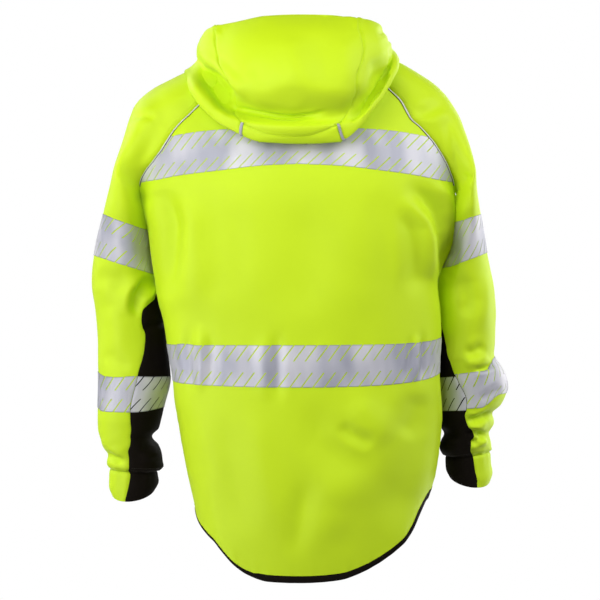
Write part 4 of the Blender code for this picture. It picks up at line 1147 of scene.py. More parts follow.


# the yellow cloth and the yellow thread carry painted light, a flat glow that brightens
# their shadows
YELLOW = fleece("fluorescent_fleece", (0.500, 0.690, 0.002),
                (0.460, 0.645, 0.0), 0.04, painted_glow=(0.048, 0.065, 0.0), gloss=0.34,
                rough=0.62)
BLACK = fleece("black_fleece", (0.0075, 0.0055, 0.0040),
               (0.0045, 0.0032, 0.0022), 0.002, gloss=0.04, rough=0.7,
               tint=(1.0, 0.92, 0.85))
THREAD = fleece("yellow_thread", (0.53, 0.72, 0.02), (0.48, 0.66, 0.01), 0.1,
                painted_glow=(0.04, 0.055, 0.0))
DARK_THREAD = fleece("black_thread", (0.02, 0.017, 0.014),
                     (0.012, 0.010, 0.008), 0.02, gloss=0.2)
SILVER = reflective("reflective_tape", (0.60, 0.59, 0.63),
                    (0.33, 0.335, 0.40), rough=0.5, metal=0.12)
TAB = reflective("grey_tab", (0.36, 0.36, 0.39), (0.27, 0.27, 0.30), rough=0.7,
                 metal=0.0)
CORD = cord_look("reflective_piping")

# ---------------------------------------------------------------------------
# Body
# ---------------------------------------------------------------------------

STEP_MM = 3.7


def body_lift(row, u, back):
    """Height of the body cloth over its form, and the way it is lifted."""
    point = body(row, u, back)
    way = body_edge_way(row, u, back)
    side = np.where(u >= 0, 1, -1)
    gap = (1 - np.abs(u)) * seam_run(row, side, back)
    lift = hang(point, way, "body")
    # folds fade to the raglan and side seams, which are pulled in a little
    lift = undulation(point) + lift * rise(gap, 0, 16)
    run = -point[..., 2]
    lift += edge_roll(gap, 1.3, 3.2) + pucker(run, gap, 0.22, 8.0, 1.0)
    if back:
        lift -= (13.0 * rise(-point[..., 2], 575, 860) ** 1.3
                 * rise(way[..., 1], 0.72, 1.0))
    low = (19.0 - row) * 75.0 / 1.0
    hem_gap = np.maximum(low, 0) * 0.55
    lift += pucker(point[..., 0], hem_gap, 0.25, 10.0, 2.0)
    return point, way, lift


def body_piece(name, back, rows, columns):
    rr, cc = np.meshgrid(rows, columns, indexing="ij")
    rr = rr + hem_reach(cc, back) * rise(rr, 18.0, 18.996)
    point, way, lift = body_lift(rr, cc, back)
    outer = point + way * lift[..., None]
    inner = outer - way * FLEECE
    return sheet_mesh(name, outer, inner, YELLOW, run_lengths(point))


def hem_reach(cc, back):
    """How much further the back panel reaches over its binding, which turns
    under on the wearer's left."""
    return (0.36 if back else 0.0) * rise(cc, 0.2, 0.55)


def body_rows(back, low, high):
    return even(lambda t: body(t, np.full(t.shape, 0.3), back), low, high,
                STEP_MM if back else 4.2)


def body_columns(back):
    return even(lambda t: body(np.full(t.shape, 10.0), t, back), -0.9997, 0.9997,
                STEP_MM if back else 4.2)


pieces = {}
pieces["back_cloth"] = body_piece("back_cloth", True, body_rows(True, 0, 18.996),
                                  body_columns(True))
pieces["front_cloth"] = body_piece("front_cloth", False,
                                   body_rows(False, 0, 18.996),
                                   body_columns(False))
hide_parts("back_panel")
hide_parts("front_panel")

# ---------------------------------------------------------------------------
# Sleeves
# ---------------------------------------------------------------------------


def sleeve_girth(v, side):
    a = np.linspace(-1, 1, 49)
    pts = sleeve(np.asarray(v, float)[..., None], a, side)
    return np.linalg.norm(np.diff(pts, axis=-2), axis=-1).sum(-1)


GIRTH_V = np.linspace(0, 22, 89)
GIRTH_AT = {s: sleeve_girth(GIRTH_V, s) for s in (1, -1)}


def sleeve_lift(v, a, side, cuff=False):
    point = sleeve(v, a, side)
    way = sleeve_edge_way(v, a, side)
    girth = np.interp(v, GIRTH_V, GIRTH_AT[side])
    lift = hang(point, way, "sleeve_left" if side > 0 else "sleeve_right")
    seam = (1 - np.abs(a)) * girth / 2
    cap = 1 - rise(v, 8.9, 9.7)
    lift = undulation(point) + lift * (1 - cap * (1 - rise(seam, 0, 16)))
    lift += cap * (edge_roll(seam, 1.1, 3.0)
                   + pucker(-point[..., 2], seam, 0.22, 8.0, 2.0))
    # the seam between the upper and the under sleeve
    edge = black_edge(v, side)
    gap = np.abs(np.abs(a) - edge) * girth / 2
    lift += np.where(v > BLACK_FROM, edge_roll(gap, 1.0, 2.6)
                     + pucker(-point[..., 2], gap, 0.22, 7.0, 0.4), 0)
    # the sleeve blouses a little over the cuff's seam
    far = (21 - v) * 31.0
    lift += np.where(v <= 21, 2.2 * np.exp(-((far - 9) / 8.0) ** 2)
                     - 2.0 * np.exp(-(far / 3.0) ** 2), 0)
    lift += np.where(v > 21, -2.0 * np.exp(-(far / 3.0) ** 2)
                     - 0.6 * np.exp(-((v - 22) * 37 / 5.0) ** 2), 0)
    lift += pucker(a * girth / 2, np.abs(far), 0.45, 14.0, 0.7) * (v > 19.5)
    return point, way, lift


SEAM_A = 0.0006


def upper_a(c, v, side):
    return c * (black_edge(v, side) - SEAM_A)


def under_a(c, v, side):
    s = np.abs(c) * (1 - black_edge(v, side) - SEAM_A)
    return np.where(c < 0, -1, 1) * (1 - s)


def sleeve_piece(name, side, rows, columns, a_of, thick, mat):
    vv, cc = np.meshgrid(rows, columns, indexing="ij")
    aa = a_of(cc, vv, side)
    point, way, lift = sleeve_lift(vv, aa, side)
    outer = point + way * lift[..., None]
    inner = outer - way * thick
    return sheet_mesh(name, outer, inner, mat, run_lengths(point))


def sleeve_rows(side, low, high, step=STEP_MM):
    rows = even(lambda t: sleeve(t, np.zeros(t.shape), side), low, high, step)
    mid = (rows[:-1] + rows[1:]) / 2
    # twice as fine where the sleeve bunches up
    return np.sort(np.concatenate([rows, mid[(mid > 12.2) & (mid < 21)]]))


UPPER_COLUMNS = np.linspace(-1, 1, 101)
UNDER_COLUMNS = np.linspace(-1, 1, 57)
for word, side in (("left", 1), ("right", -1)):
    piece = sleeve_piece("sleeve_cloth_" + word, side,
                         sleeve_rows(side, 0, 20.995), UPPER_COLUMNS, upper_a,
                         FLEECE, YELLOW)
    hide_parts("sleeve_upper_" + word)
    pieces["sleeve_cloth_" + word] = piece
    piece = sleeve_piece("under_cloth_" + word, side,
                         sleeve_rows(side, 12.3, 20.995), UNDER_COLUMNS,
                         under_a, FLEECE, BLACK)
    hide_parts("sleeve_under_" + word)
    pieces["under_cloth_" + word] = piece
    piece = sleeve_piece("cuff_cloth_" + word, side,
                         sleeve_rows(side, 21.005, 22, 2.4), UPPER_COLUMNS,
                         upper_a, CUFF, YELLOW)
    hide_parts("cuff_outer_" + word)
    pieces["cuff_cloth_" + word] = piece
    piece = sleeve_piece("cuff_under_" + word, side,
                         sleeve_rows(side, 21.005, 22, 2.4), UNDER_COLUMNS,
                         under_a, CUFF, BLACK)
    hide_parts("cuff_inner_" + word)
    pieces["cuff_under_" + word] = piece

# ---------------------------------------------------------------------------
# Tape: a row of slanting slits along each edge shows the cloth beneath
# ---------------------------------------------------------------------------

PITCH = 18.0          # distance between slits
SLIT = 2.3            # width of a slit, along the tape
SLANT = 0.78          # how far a slit leans for each mm that it falls
SHIFT = 0.66          # the lower slits stand this part of a pitch further on
TOP_BAND, LOW_BAND = 0.385, 0.65
CELLS = [0, SLIT, 5.3, 8.6, SHIFT * PITCH, SHIFT * PITCH + SLIT, PITCH]


def tape_mesh(name, at, reach, width, start, lean):
    """A tape.  at(s, t) gives the form's point, its normal and the cloth's
    height s mm along the tape and t of its width down; reach(t) gives how far
    it runs to both sides.  Slits lean by lean mm for each mm down."""
    tt = np.concatenate([np.linspace(0, TOP_BAND, 9),
                         np.linspace(TOP_BAND, LOW_BAND, 7)[1:],
                         np.linspace(LOW_BAND, 1, 9)[1:]])
    low, high = reach(tt)
    first = int(math.floor((low.min() - width) / PITCH)) - 1
    last = int(math.ceil((high.max() + width) / PITCH)) + 1
    offs = np.array([k * PITCH + c for k in range(first, last)
                     for c in CELLS[:-1]]) + start
    cell = np.tile(np.arange(len(CELLS) - 1), last - first)[:-1]
    ss = offs[None, :] + lean * tt[:, None] * width
    full = np.clip(ss, low[:, None], high[:, None])
    rows = np.repeat(tt[:, None], len(offs), axis=1)
    point, way, lift = at(full, rows)
    mid = (tt[:-1] + tt[1:]) / 2
    keep = np.ones((len(tt) - 1, len(offs) - 1), bool)
    keep &= ~((mid < TOP_BAND)[:, None] & (cell == 0)[None, :])
    keep &= ~((mid > LOW_BAND)[:, None] & (cell == 4)[None, :])
    for out in (ss <= low[:, None], ss >= high[:, None]):
        keep &= ~(out[:-1, :-1] & out[1:, :-1] & out[1:, 1:] & out[:-1, 1:])
    outer = point + way * (lift + GAP + TAPE)[..., None]
    inner = point + way * (lift + GAP)[..., None]
    uv = np.stack([full, -rows * width], -1) * MM
    edge = np.stack([np.minimum(rows, 1 - rows) * width, full], -1) * MM
    return sheet_mesh(name, outer, inner, SILVER, uv, keep, edge)


def run_table(place, params):
    """Arc length from params = 0 along a row."""
    pts = place(params)
    run = np.concatenate([[0], np.cumsum(np.linalg.norm(
        np.diff(pts, axis=0), axis=1))])
    return run - np.interp(0, params, run)


def body_tape(name, back, row0, row1, inset, start):
    u = np.linspace(-1, 1, 401)
    stops = np.linspace(0, 1, 9)
    runs = np.stack([run_table(lambda q: body(np.full(q.shape, row0 + (
        row1 - row0) * t), q, back), u) for t in stops])
    width = float(np.mean(np.linalg.norm(
        body(np.full(5, row0), np.linspace(-.8, .8, 5), back)
        - body(np.full(5, row1), np.linspace(-.8, .8, 5), back), axis=1)))

    def table(t):
        i = np.clip(np.searchsorted(stops, t, side="right") - 1, 0, 7)
        f = (t - stops[i]) / (stops[i + 1] - stops[i])
        return runs[i] * (1 - f) + runs[i + 1] * f

    def reach(tt):
        ends = np.array([table(t)[[0, -1]] for t in tt])
        return ends[:, 0] + inset, ends[:, 1] - inset

    def at(s, tt):
        uu = np.stack([np.interp(s[i], table(tt[i, 0]), u)
                       for i in range(len(s))])
        rows = row0 + (row1 - row0) * tt
        if row0 == 13:
            rows = rows + rise_of_waist(uu, tt, back)
        return body_lift(rows, uu, back)
    low, high = reach(np.array([0.5]))
    tape_sizes[name] = (float(high[0] - low[0]), width)
    # seen from outside the slits rise to the right
    return tape_mesh(name, at, reach, width, start, SLANT if back else -SLANT)


def rise_of_waist(uu, tt, back):
    """The waist tape climbs a little to the wearer's right side."""
    if not back:
        return 0 * uu
    return (-(0.05 + 0.1 * tt) * rise(-uu, 0.35, 0.97)
            - 0.035 * np.exp(-((uu - 0.63) / 0.06) ** 2) * (1 - tt))


tape_sizes = {}
for name, node, back, row0, row1, inset, start in (
        ("chest_tape_back", "tape_chest_back", True, 5, 8, 4.8, 3.0),
        ("chest_tape_front", "tape_chest_front", False, 5, 8, 4.8, 6.0),
        ("waist_tape_back", "tape_waist_back", True, 13, 15, 0.4, 8.0),
        ("waist_tape_front", "tape_waist_front", False, 13, 15, 0.4, 1.0)):
    piece = body_tape(name, back, row0, row1, inset, start)
    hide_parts(node)
    pieces[name] = piece


def sleeve_tape(name, side, edges, a_of, start, lean):
    """A tape round part of a sleeve, between c = -1 and c = 1.  edges gives
    its upper and lower edge by c."""
    c = np.linspace(-1, 1, 401)
    top, low = edges
    stops = np.linspace(0, 1, 9)

    def v_at(cc, t):
        return top(cc) + (low(cc) - top(cc)) * t
    runs = np.stack([run_table(lambda q: sleeve(
        v_at(q, t), a_of(q, v_at(q, t), side), side), c) for t in stops])
    mids = np.array([-.5, 0, .5])
    width = float(np.mean(np.linalg.norm(
        sleeve(v_at(mids, 0), a_of(mids, v_at(mids, 0), side), side)
        - sleeve(v_at(mids, 1), a_of(mids, v_at(mids, 1), side), side),
        axis=1)))

    def table(t):
        i = np.clip(np.searchsorted(stops, t, side="right") - 1, 0, 7)
        f = (t - stops[i]) / (stops[i + 1] - stops[i])
        return runs[i] * (1 - f) + runs[i + 1] * f

    def reach(tt):
        ends = np.array([table(t)[[0, -1]] for t in tt])
        return ends[:, 0] + 0.4, ends[:, 1] - 0.4

    def at(s, tt):
        cc = np.stack([np.interp(s[i], table(tt[i, 0]), c)
                       for i in range(len(s))])
        v = v_at(cc, tt)
        return sleeve_lift(v, a_of(cc, v, side), side)
    low_s, high_s = reach(np.array([0.5]))
    tape_sizes[name] = (float(high_s[0] - low_s[0]), width)
    return tape_mesh(name, at, reach, width, start, lean)


def level_edge(v):
    return lambda c: np.full(np.shape(c), float(v))


def dipped_edge(v, dip, seam):
    """An edge that hangs lower on the sleeve's back."""
    return lambda c: (v + dip * rise(-c, 0.02, 0.45)
                      * (1 - (1 - seam) * rise(-c, 0.6, 1.0)))


def bulge_edge(v, up, low, high):
    """An edge that rises by up at the outer side, towards the back."""
    return lambda c: v - up * rise(c, low, high) * rise(-c, -1.0, -0.35)


for word, side in (("left", 1), ("right", -1)):
    upper = (level_edge(10), level_edge(12))
    lower = (dipped_edge(16, 0.2, 0.35), dipped_edge(18, 0.22, 1.0))
    under = (lambda c: 16 + 0.07 * rise(-c, 0.1, 1.0),
             lambda c: 18 + 0.22 * rise(-c, 0.0, 1.0))
    if side < 0:
        under = (level_edge(16.12), level_edge(18.1))
        lower = (bulge_edge(16, 0.5, -0.55, -0.1),
                 bulge_edge(18, 0.55, -0.75, -0.35))
    for name, node, edges, a_of, start, lean in (
            (f"arm_tape_upper_{word}", f"tape_arm_upper_{word}", upper,
             upper_a, 2.0, side * SLANT),
            (f"arm_tape_lower_{word}", f"tape_arm_lower_outer_{word}", lower,
             upper_a, 5.0, side * SLANT),
            (f"arm_tape_under_{word}", f"tape_arm_lower_under_{word}",
             under, under_a, 9.0, -side * SLANT)):
        piece = sleeve_tape(name, side, edges, a_of, start, lean)
        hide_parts(node)
        pieces[name] = piece

# ---------------------------------------------------------------------------
# Hood
# ---------------------------------------------------------------------------

HOOD_FRONT = 177.0
ANGLE_GAP = 0.055


def hood_way(angle, row):
    return normals(hood_clear, angle, row, -1.0, 0.5, 0.02)


# creases of the hood: half width in steps, height in mm, path in the back view
HOOD_CREASES = [  # half width, height, first row, last row, path
    (2.4, -6.0, 3.2, 4.6, [(228, 102), (236, 108.5), (257, 113), (276, 116.5),
                           (293, 117.5), (311, 115.5), (330, 110)]),
    (7, 3.0, 4.2, 6.0, [(240, 96), (262, 103), (290, 107), (312, 104)]),
    # the side pocket under the crown's fold, on the wearer's left
    (5.0, 3.0, 4.3, 7.2, [(186, 44), (204, 58), (220, 70), (233, 82),
                          (241, 94), (242, 110)]),
    (7.0, -10.0, 3.2, 5.4, [(204, 66), (210, 74), (219, 84), (227, 94),
                            (232, 104)]),
    (9, -4.0, 2.9, 4.6, [(206, 74), (213, 86), (222, 98), (230, 106)]),
    (5, 3.0, 2.3, 3.4, [(190, 74), (196, 88), (212, 104), (230, 120)]),
    (9, -2.5, 5.2, 7.2, [(250, 60), (260, 80), (270, 98)]),
    (14, -3.0, 5.0, 7.2, [(318, 30), (324, 60), (330, 92)]),
    (12, 3.0, 5.0, 7.2, [(285, 30), (292, 62), (300, 90)]),
    (10, 2.0, 5.2, 7.2, [(345, 35), (347, 60), (345, 84)]),
    # the rolled rim and the folds inside it, on the wearer's right
    (3.4, 3.0, 2.2, 4.4, [(396, 58), (394, 70), (388, 84), (379, 97),
                          (370, 107), (358, 120)]),
    (1.7, -5.5, 2.4, 5.6, [(390.5, 48), (389.7, 64), (385, 78), (377.5, 90),
                           (368, 101), (360, 111)]),
    (6.5, -5.5, 3.4, 5.8, [(366, 64), (376, 67), (379, 76), (372, 88)]),
    (6.0, 2.5, 3.4, 5.6, [(362, 78), (364, 88), (360, 98)]),
    (3.2, -7.5, 3.0, 4.8, [(348, 122), (361, 111), (371, 99)]),
    (5.0, 1.5, 5.0, 7.0, [(372, 38), (380, 48), (384, 58)]),
    (3.6, -3.4, 5.0, 9.0, [(398, 29), (386, 30.5), (376, 33)]),
    (3.0, -3.6, 5.0, 9.0, [(404, 47), (394, 49), (387, 53)]),
    (5.0, -4.0, 6.0, 9.0, [(394, 14), (384, 18), (377, 24)]),
    (9.0, -2.6, 6.4, 9.0, [(262, 14), (300, 10), (338, 12)]),
    (6.0, -3.0, 5.4, 7.6, [(399, 36), (392, 38), (386, 41)]),
    (3.0, 2.2, 6.5, 8.0, [(216, 22), (216, 27), (216, 36)]),
    (3.0, 2.2, 6.5, 8.0, [(358, 16), (358, 20), (359, 30)]),
    (12, -2.6, 6.4, 9.0, [(350, 10), (335, 13), (318, 14)]),
    (3.0, -1.6, 2.0, 3.0, [(262, 140), (290, 141.5), (325, 140)]),
]


def hood_hang(point, way, angle, row):
    lift = undulation(point) * 0.6
    px, py = in_view(point, True)
    facing = rise(way[..., 1], -0.5, 0.0) * (np.abs(angle) < 120)
    for wide, high, first, last, path in HOOD_CREASES:
        w = (facing * rise(row, first - 0.5, first)
             * (1 - rise(row, last, last + 0.5)))
        lift += w * high * crease(px, py, wide, path)
    return lift


def hood_lift(angle, row):
    point = hood_clear(angle, row)
    way = hood_way(angle, row)
    lift = hood_hang(point, way, angle, row)
    for side in (1, -1):
        gap = np.abs(angle * side - CENTRE_AT[side](row)) * np.radians(1) \
            * np.hypot(point[..., 0], point[..., 1])
        lift += edge_roll(gap, 1.5, 2.8)
        lift += pucker(row * 45, gap, 0.25, 8.0, side)
    inside = np.abs(angle) < np.where(angle > 0, CENTRE_AT[1](row),
                                      CENTRE_AT[-1](row)) + 0.5
    half = np.where(angle > 0, CENTRE_AT[1](row), CENTRE_AT[-1](row))
    edge = nape_edge(np.clip(angle / half, -1, 1))
    gap = np.abs(row - edge) * 22
    lift += np.where(inside, edge_roll(gap, 2.3, 2.6), 0)
    return point, way, lift


def hood_piece(name, rows, columns, angle_of, row_of):
    rr, cc = np.meshgrid(rows, columns, indexing="ij")
    angle, row = angle_of(cc, rr), row_of(cc, rr)
    point, way, lift = hood_lift(angle, row)
    outer = point + way * lift[..., None]
    inner = outer - way * FLEECE
    return sheet_mesh(name, outer, inner, YELLOW, run_lengths(point))


def seam_angle(c, row):
    side = np.where(c >= 0, 1, -1)
    wide = np.where(side > 0, CENTRE_AT[1](row), CENTRE_AT[-1](row))
    return c * (wide - ANGLE_GAP)


def centre_row(c, r):
    edge = nape_edge(c)
    return edge + (r - 3) * (9 - edge) / 6 + np.where(r < 3.001, 0.005, 0)


def nape_row(c, r):
    return r * nape_edge(c) / 3 - np.where(r < 2.999, 0, 0.005)


def hood_rows(low, high, angle=0.0, step=2.8):
    return even(lambda t: hood(np.full(t.shape, angle), t), low, high, step)


piece = hood_piece("hood_cloth_center", hood_rows(3, 9), np.linspace(-1, 1, 97),
                   lambda c, r: seam_angle(c, centre_row(c, r)), centre_row)
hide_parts("hood_center")
pieces[piece.name] = piece
piece = hood_piece("hood_cloth_nape", hood_rows(0, 3), np.linspace(-1, 1, 97),
                   lambda c, r: seam_angle(c, nape_row(c, r)), nape_row)
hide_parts("hood_nape_insert")
pieces[piece.name] = piece
for word, side in (("left", 1), ("right", -1)):
    def side_angle(c, r, side=side):
        near = CENTRE_AT[side](r) + ANGLE_GAP
        return side * (near + c * (HOOD_FRONT - near))
    piece = hood_piece("hood_cloth_" + word, hood_rows(0, 9, 60 * side),
                       np.linspace(0, 1, 127) ** 1.15, side_angle,
                       lambda c, r: r)
    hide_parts("hood_side_" + word)
    pieces[piece.name] = piece

# reflective tabs at the ends of the nape insert
for word, side in (("left", 1), ("right", -1)):
    rr, cc = np.meshgrid(np.linspace(2.2, 2.97 if side > 0 else 3.25, 18),
                         np.linspace(-1, 1, 7), indexing="ij")
    lean = (rr - rr[0, 0]) / (rr[-1, 0] - rr[0, 0])
    angle = side * ((CENTRE_AT[side](rr) if side < 0 else
                     33.6 - 2.0 * lean) + cc * 0.72)
    point, way = hood_clear(angle, rr), hood_way(angle, rr)
    lift = hood_hang(point, way, angle, rr)
    crown = 0.9 * (1 - cc ** 2)
    outer = point + way * (lift + 0.6 + crown)[..., None]
    inner = point + way * (lift - 0.5)[..., None]
    uv = np.stack([cc, rr * 0.01], -1)
    piece = sheet_mesh("tab_" + word, outer, inner, TAB, uv, None,
                       np.full(uv.shape, 0.004))
    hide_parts("hood_tab_" + word)
    pieces[piece.name] = piece

# ---------------------------------------------------------------------------
# Piping and hem binding
# ---------------------------------------------------------------------------

for word, back in (("back", True), ("front", False)):
    for side_word, side in (("left", 1), ("right", -1)):
        rows = even(lambda t: body(t, np.full(t.shape, float(side)), back), 0.2,
                    8.5 if side > 0 else 8.2, 2.5)
        cols = np.linspace(-1, 1, 11)
        rr, cc = np.meshgrid(rows, cols, indexing="ij")
        off = 2.75 - cc * 2.6 * side
        uu = side * (1 - off / seam_run(rr, np.full(rr.shape, side), back))
        point, way, lift = body_lift(rr, uu, back)
        high = 2.5 * np.sqrt(np.clip(1 - cc ** 2, 0, 1)) + 0.3
        base = lift.mean(axis=1, keepdims=True) + 0 * lift
        outer = point + way * (base + high)[..., None]
        inner = point + way * (base - 0.6)[..., None]
        uv = np.stack([cc, rr * 0.02], -1)
        piece = sheet_mesh(f"piping_cord_{word}_{side_word}", outer, inner,
                           CORD, uv)
        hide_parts(f"piping_{word}_{side_word}")
        pieces[piece.name] = piece

for word, back in (("back", True), ("front", False)):
    cols = body_columns(back)
    ring = np.linspace(0, 2 * math.pi, 17)
    # a folded band that wraps the panel's edge
    cc, qq = np.meshgrid(cols, np.linspace(0, 1, 13), indexing="ij")
    top = (18.955 + hem_reach(cc, back)
           - 0.16 * rise(-cc, 0.6, 0.9) * (1 if back else 0))
    rr = top + (20 - top) * qq
    point, way, lift = body_lift(rr, cc, back)
    fat = 1.55 + 0.35 * np.sin(np.pi * np.clip(qq * 1.3, 0, 1))
    fat = fat * np.sqrt(np.clip(1 - (np.clip(qq - 0.78, 0, 1) / 0.225) ** 2,
                                0.02, 1))
    mid = lift - FLEECE / 2
    outer = point + way * (mid + fat)[..., None]
    inner = point + way * (mid - fat)[..., None]
    uv = run_lengths(point)
    piece = sheet_mesh("hem_cloth_" + word, np.swapaxes(outer, 0, 1),
                       np.swapaxes(inner, 0, 1), BLACK, np.swapaxes(uv, 0, 1))
    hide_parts("hem_binding_" + word)
    pieces[piece.name] = piece

# ---------------------------------------------------------------------------
# Stitches: short thread spindles that stand a little out of the cloth
# ---------------------------------------------------------------------------

STITCH_PITCH, STITCH_LONG, STITCH_FAT = 3.3, 2.5, 0.3


def stitch_row(place, low, high):
    """Mid points, directions and outward ways of the stitches of a seam."""
    q = even(lambda t: place(t)[0], low, high, 0.7)
    point, way, lift = place(q)
    skin = point + way * (lift + 0.12)[..., None]
    run = np.concatenate([[0], np.cumsum(np.linalg.norm(
        np.diff(skin, axis=0), axis=1))])
    mids = np.arange(STITCH_PITCH / 2, run[-1] - STITCH_PITCH / 2, STITCH_PITCH)

    def at(r):
        return np.stack([np.interp(r, run, skin[:, i]) for i in range(3)], -1)
    ahead = at(mids + STITCH_LONG / 2) - at(mids - STITCH_LONG / 2)
    ahead /= np.linalg.norm(ahead, axis=1, keepdims=True)
    out = np.stack([np.interp(mids, run, way[:, i]) for i in range(3)], -1)
    out /= np.linalg.norm(out, axis=1, keepdims=True)
    return at(mids), ahead, out


def stitches(name, rows, mat):
    """One mesh of all the spindles of several seams."""
    sides = 5
    stops = ((-0.5, 0.25), (-0.22, 0.9), (0.22, 0.9), (0.5, 0.25))
    turn = np.linspace(0, 2 * math.pi, sides, endpoint=False)
    mid = np.concatenate([r[0] for r in rows])
    ahead = np.concatenate([r[1] for r in rows])
    out = np.concatenate([r[2] for r in rows])
    cross = np.cross(ahead, out)
    ring = [mid[:, None, :] + ahead[:, None, :] * f * STITCH_LONG
            + (cross[:, None, :] * np.cos(turn)[None, :, None]
               + out[:, None, :] * np.sin(turn)[None, :, None])
            * STITCH_FAT * g for f, g in stops]
    points = np.stack(ring, 1).reshape(-1, 3) * MM
    faces = []
    for k in range(len(stops) - 1):
        for i in range(sides):
            j = (i + 1) % sides
            faces.append([k * sides + i, (k + 1) * sides + i,
                          (k + 1) * sides + j, k * sides + j])
    caps = [list(range(sides)), [len(stops) * sides - 1 - i
                                 for i in range(sides)]]
    size = len(stops) * sides
    count = len(mid)
    every = [[[v + n * size for v in f] for f in faces + caps]
             for n in range(count)]
    mesh = bpy.data.meshes.new(name)
    mesh.from_pydata(points.tolist(), [], [f for one in every for f in one])
    layer = mesh.uv_layers.new(name="cloth")
    layer.data.foreach_set("uv", np.zeros(2 * len(mesh.loops), np.float32))
    mesh.validate()
    mesh.shade_smooth()
    mesh.materials.append(mat)
    obj = bpy.data.objects.new(name, mesh)
    bpy.context.scene.collection.objects.link(obj)
    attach(obj, "root")
    return obj


hood_rows_of = []
for side in (1, -1):
    for off in (-1.05, 1.05):
        hood_rows_of.append(stitch_row(lambda t, s=side, o=off: hood_lift(
            s * (CENTRE_AT[s](t) + o), t), 2.62, 8.7))
for off in (-0.1, 0.12):
    hood_rows_of.append(stitch_row(lambda t, o=off: hood_lift(
        seam_angle(t, nape_edge(t) + o), nape_edge(t) + o), -0.97, 0.97))
hood_rows_of.append(stitch_row(lambda t: hood_lift(
    seam_angle(t, 0 * t + 2.28), 0 * t + 2.28), -0.93, 0.93))
stitches("hood_stitches", hood_rows_of, THREAD)
for word, side in (("left", 1), ("right", -1)):
    runs = []
    for v in (20.72, 20.86):
        runs.append(stitch_row(lambda t, s=side, w=v: sleeve_lift(
            0 * t + w, upper_a(t, 0 * t + w, s), s), -0.97, 0.97))
    for back in (-1, 1):
        runs.append(stitch_row(lambda t, s=side, b=back: sleeve_lift(
            t, b * (black_edge(t, s) - 0.014), s), 12.8, 20.6))
    stitches(
        "sleeve_stitches_" + word, runs, THREAD)
    runs = [stitch_row(lambda t, s=side, w=v: sleeve_lift(
        0 * t + w, under_a(t, 0 * t + w, s), s), -0.95, 0.95)
        for v in (20.72, 20.86)]
    stitches(
        "cuff_stitches_" + word, runs, DARK_THREAD)

# ---------------------------------------------------------------------------
# Cut sizes, floor, light and camera
# ---------------------------------------------------------------------------


SHEETS = [  # piece, width, length and area of its cut, how held, rests on
    ("back_cloth", 0.640, 0.831, 0.405, "hung", []),
    ("front_cloth", 0.635, 0.616, 0.337, "hung", []),
    ("sleeve_cloth_left", 0.417, 0.796, 0.206, "hung", []),
    ("sleeve_cloth_right", 0.393, 0.770, 0.198, "hung", []),
    ("under_cloth_left", 0.184, 0.325, 0.048, "hung", []),
    ("under_cloth_right", 0.161, 0.299, 0.034, "hung", []),
    ("cuff_cloth_left", 0.120, 0.042, 0.0045, "gathered", []),
    ("cuff_cloth_right", 0.110, 0.047, 0.0046, "gathered", []),
    ("cuff_under_left", 0.147, 0.034, 0.0045, "gathered", []),
    ("cuff_under_right", 0.142, 0.035, 0.0046, "gathered", []),
    ("hood_cloth_center", 0.280, 0.276, 0.0565, "folded", []),
    ("hood_cloth_nape", 0.172, 0.186, 0.0225, "folded", []),
    ("hood_cloth_left", 0.457, 0.192, 0.0722, "folded", []),
    ("hood_cloth_right", 0.470, 0.175, 0.0676, "folded", []),
    ("chest_tape_back", 0.540, 0.079, 0.0285, "laid", ["back_cloth"]),
    ("chest_tape_front", 0.505, 0.077, 0.0268, "laid", ["front_cloth"]),
    ("waist_tape_back", 0.561, 0.063, 0.0330, "laid", ["back_cloth"]),
    ("waist_tape_front", 0.566, 0.060, 0.0312, "laid", ["front_cloth"]),
    ("arm_tape_upper_left", 0.416, 0.072, 0.0262, "laid",
     ["sleeve_cloth_left"]),
    ("arm_tape_upper_right", 0.391, 0.069, 0.0240, "laid",
     ["sleeve_cloth_right"]),
    ("arm_tape_lower_left", 0.211, 0.057, 0.0105, "laid",
     ["sleeve_cloth_left"]),
    ("arm_tape_lower_right", 0.257, 0.058, 0.0132, "laid",
     ["sleeve_cloth_right"]),
    ("arm_tape_under_left", 0.183, 0.054, 0.0090, "laid",
     ["under_cloth_left"]),
    ("arm_tape_under_right", 0.159, 0.055, 0.0077, "laid",
     ["under_cloth_right"]),
]
for name, wide, long, area, held, on in SHEETS:
    uv = np.empty(2 * len(pieces[name].data.loops), np.float32)
    pieces[name].data.uv_layers["cloth"].data.foreach_get("uv", uv)
    size = uv.reshape(-1, 2).max(0) - uv.reshape(-1, 2).min(0)
    real = sum(p.area for p in pieces[name].data.polygons) / 2
    print("CUT", name, wide, long, area, "shown", np.round(size, 3).tolist(),
          round(real, 4), round(real / area, 2))

floor_mesh = bpy.data.meshes.new("floor")
bm = bmesh.new()
bmesh.ops.create_grid(bm, x_segments=2, y_segments=2, size=3.0)
bm.to_mesh(floor_mesh)
bm.free()
floor = bpy.data.objects.new("floor", floor_mesh)
floor.location = (0, 0, -1.45)
floor.visible_diffuse = False  # only the lamps and the studio light the cloth
bpy.context.scene.collection.objects.link(floor)
floor_mat, floor_tree, floor_shader = new_material("pale_floor")
floor_shader.inputs["Base Color"].default_value = (0.86, 0.86, 0.86, 1)
floor_shader.inputs["Roughness"].default_value = 0.9
floor_shader.inputs["Emission Color"].default_value = (1, 1, 1, 1)
floor_shader.inputs["Emission Strength"].default_value = 0.6
floor_mesh.materials.append(floor_mat)


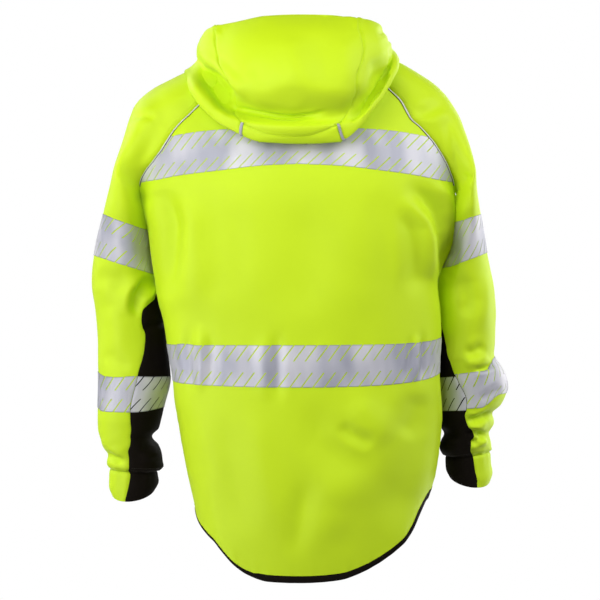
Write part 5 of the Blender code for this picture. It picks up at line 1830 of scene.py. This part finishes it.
def soft_light(name, place, aim, size, power, colour=(1, 1, 1)):
    data = bpy.data.lights.new(name, "AREA")
    data.shape = "RECTANGLE"
    data.size, data.size_y = size
    data.energy = power
    data.color = colour
    obj = bpy.data.objects.new(name, data)
    obj.location = place
    d = np.array(aim, float) - np.array(place, float)
    obj.rotation_euler = (math.atan2(math.hypot(d[0], d[1]), -d[2]), 0,
                          math.atan2(d[1], d[0]) - math.pi / 2)
    bpy.context.scene.collection.objects.link(obj)


LIGHTS = [  # name, place, size, power; each has a dimmer twin at the front
    ("high_left", (1.4, 1.3, 1.1), (1.2, 1.0), 1.0),
    ("high_right", (-1.4, 1.3, 1.1), (1.2, 1.0), 18.5),
    ("side_left", (2.0, 0.6, 0.5), (1.2, 1.2), 1.0),
    ("side_right", (-2.0, 0.6, 0.5), (1.2, 1.2), 25.0),
    ("low_left", (2.0, 1.2, -0.8), (1.0, 1.4), 25.0),
    ("close_mid", (0.35, 1.0, 0.15), (0.7, 0.7), 6.0),
    ("far_left", (2.2, 2.2, 0.4), (1.2, 1.2), 26.0),
]
for name, place, size, power in LIGHTS:
    soft_light(name, place, (0, 0, -0.3), size, power)
    soft_light("front_" + name, (-place[0], -place[1], place[2]),
               (0, 0, -0.3), size, power * 0.75)

# a white studio, seen as white, that lights the cloth more softly
world = bpy.data.worlds.new("studio")
bpy.context.scene.world = world
world.use_nodes = True
tree = world.node_tree
white = tree.nodes["Background"]
white.inputs[0].default_value = (1, 1, 1, 1)
white.inputs[1].default_value = 1.0
dim = tree.nodes.new("ShaderNodeBackground")
dim.inputs[0].default_value = (0.97, 0.98, 1.0, 1)
dim.inputs[1].default_value = 0.045
seen = tree.nodes.new("ShaderNodeLightPath")
both = tree.nodes.new("ShaderNodeMixShader")
tree.links.new(seen.outputs["Is Camera Ray"], both.inputs[0])
tree.links.new(dim.outputs[0], both.inputs[1])
tree.links.new(white.outputs[0], both.inputs[2])
tree.links.new(both.outputs[0], tree.nodes["World Output"].inputs[0])

camera_data = bpy.data.cameras.new("camera")
camera_data.sensor_width = 36
camera_data.lens = 36 * EYE / (600 * STEP)
camera = bpy.data.objects.new("camera", camera_data)
camera.location = (0, EYE, EYE_Z)
camera.rotation_euler = (math.pi / 2, 0, math.pi)
bpy.context.scene.collection.objects.link(camera)
bpy.context.scene.camera = camera
bpy.context.scene.view_settings.view_transform = "Standard"
bpy.context.scene.view_settings.look = "None"
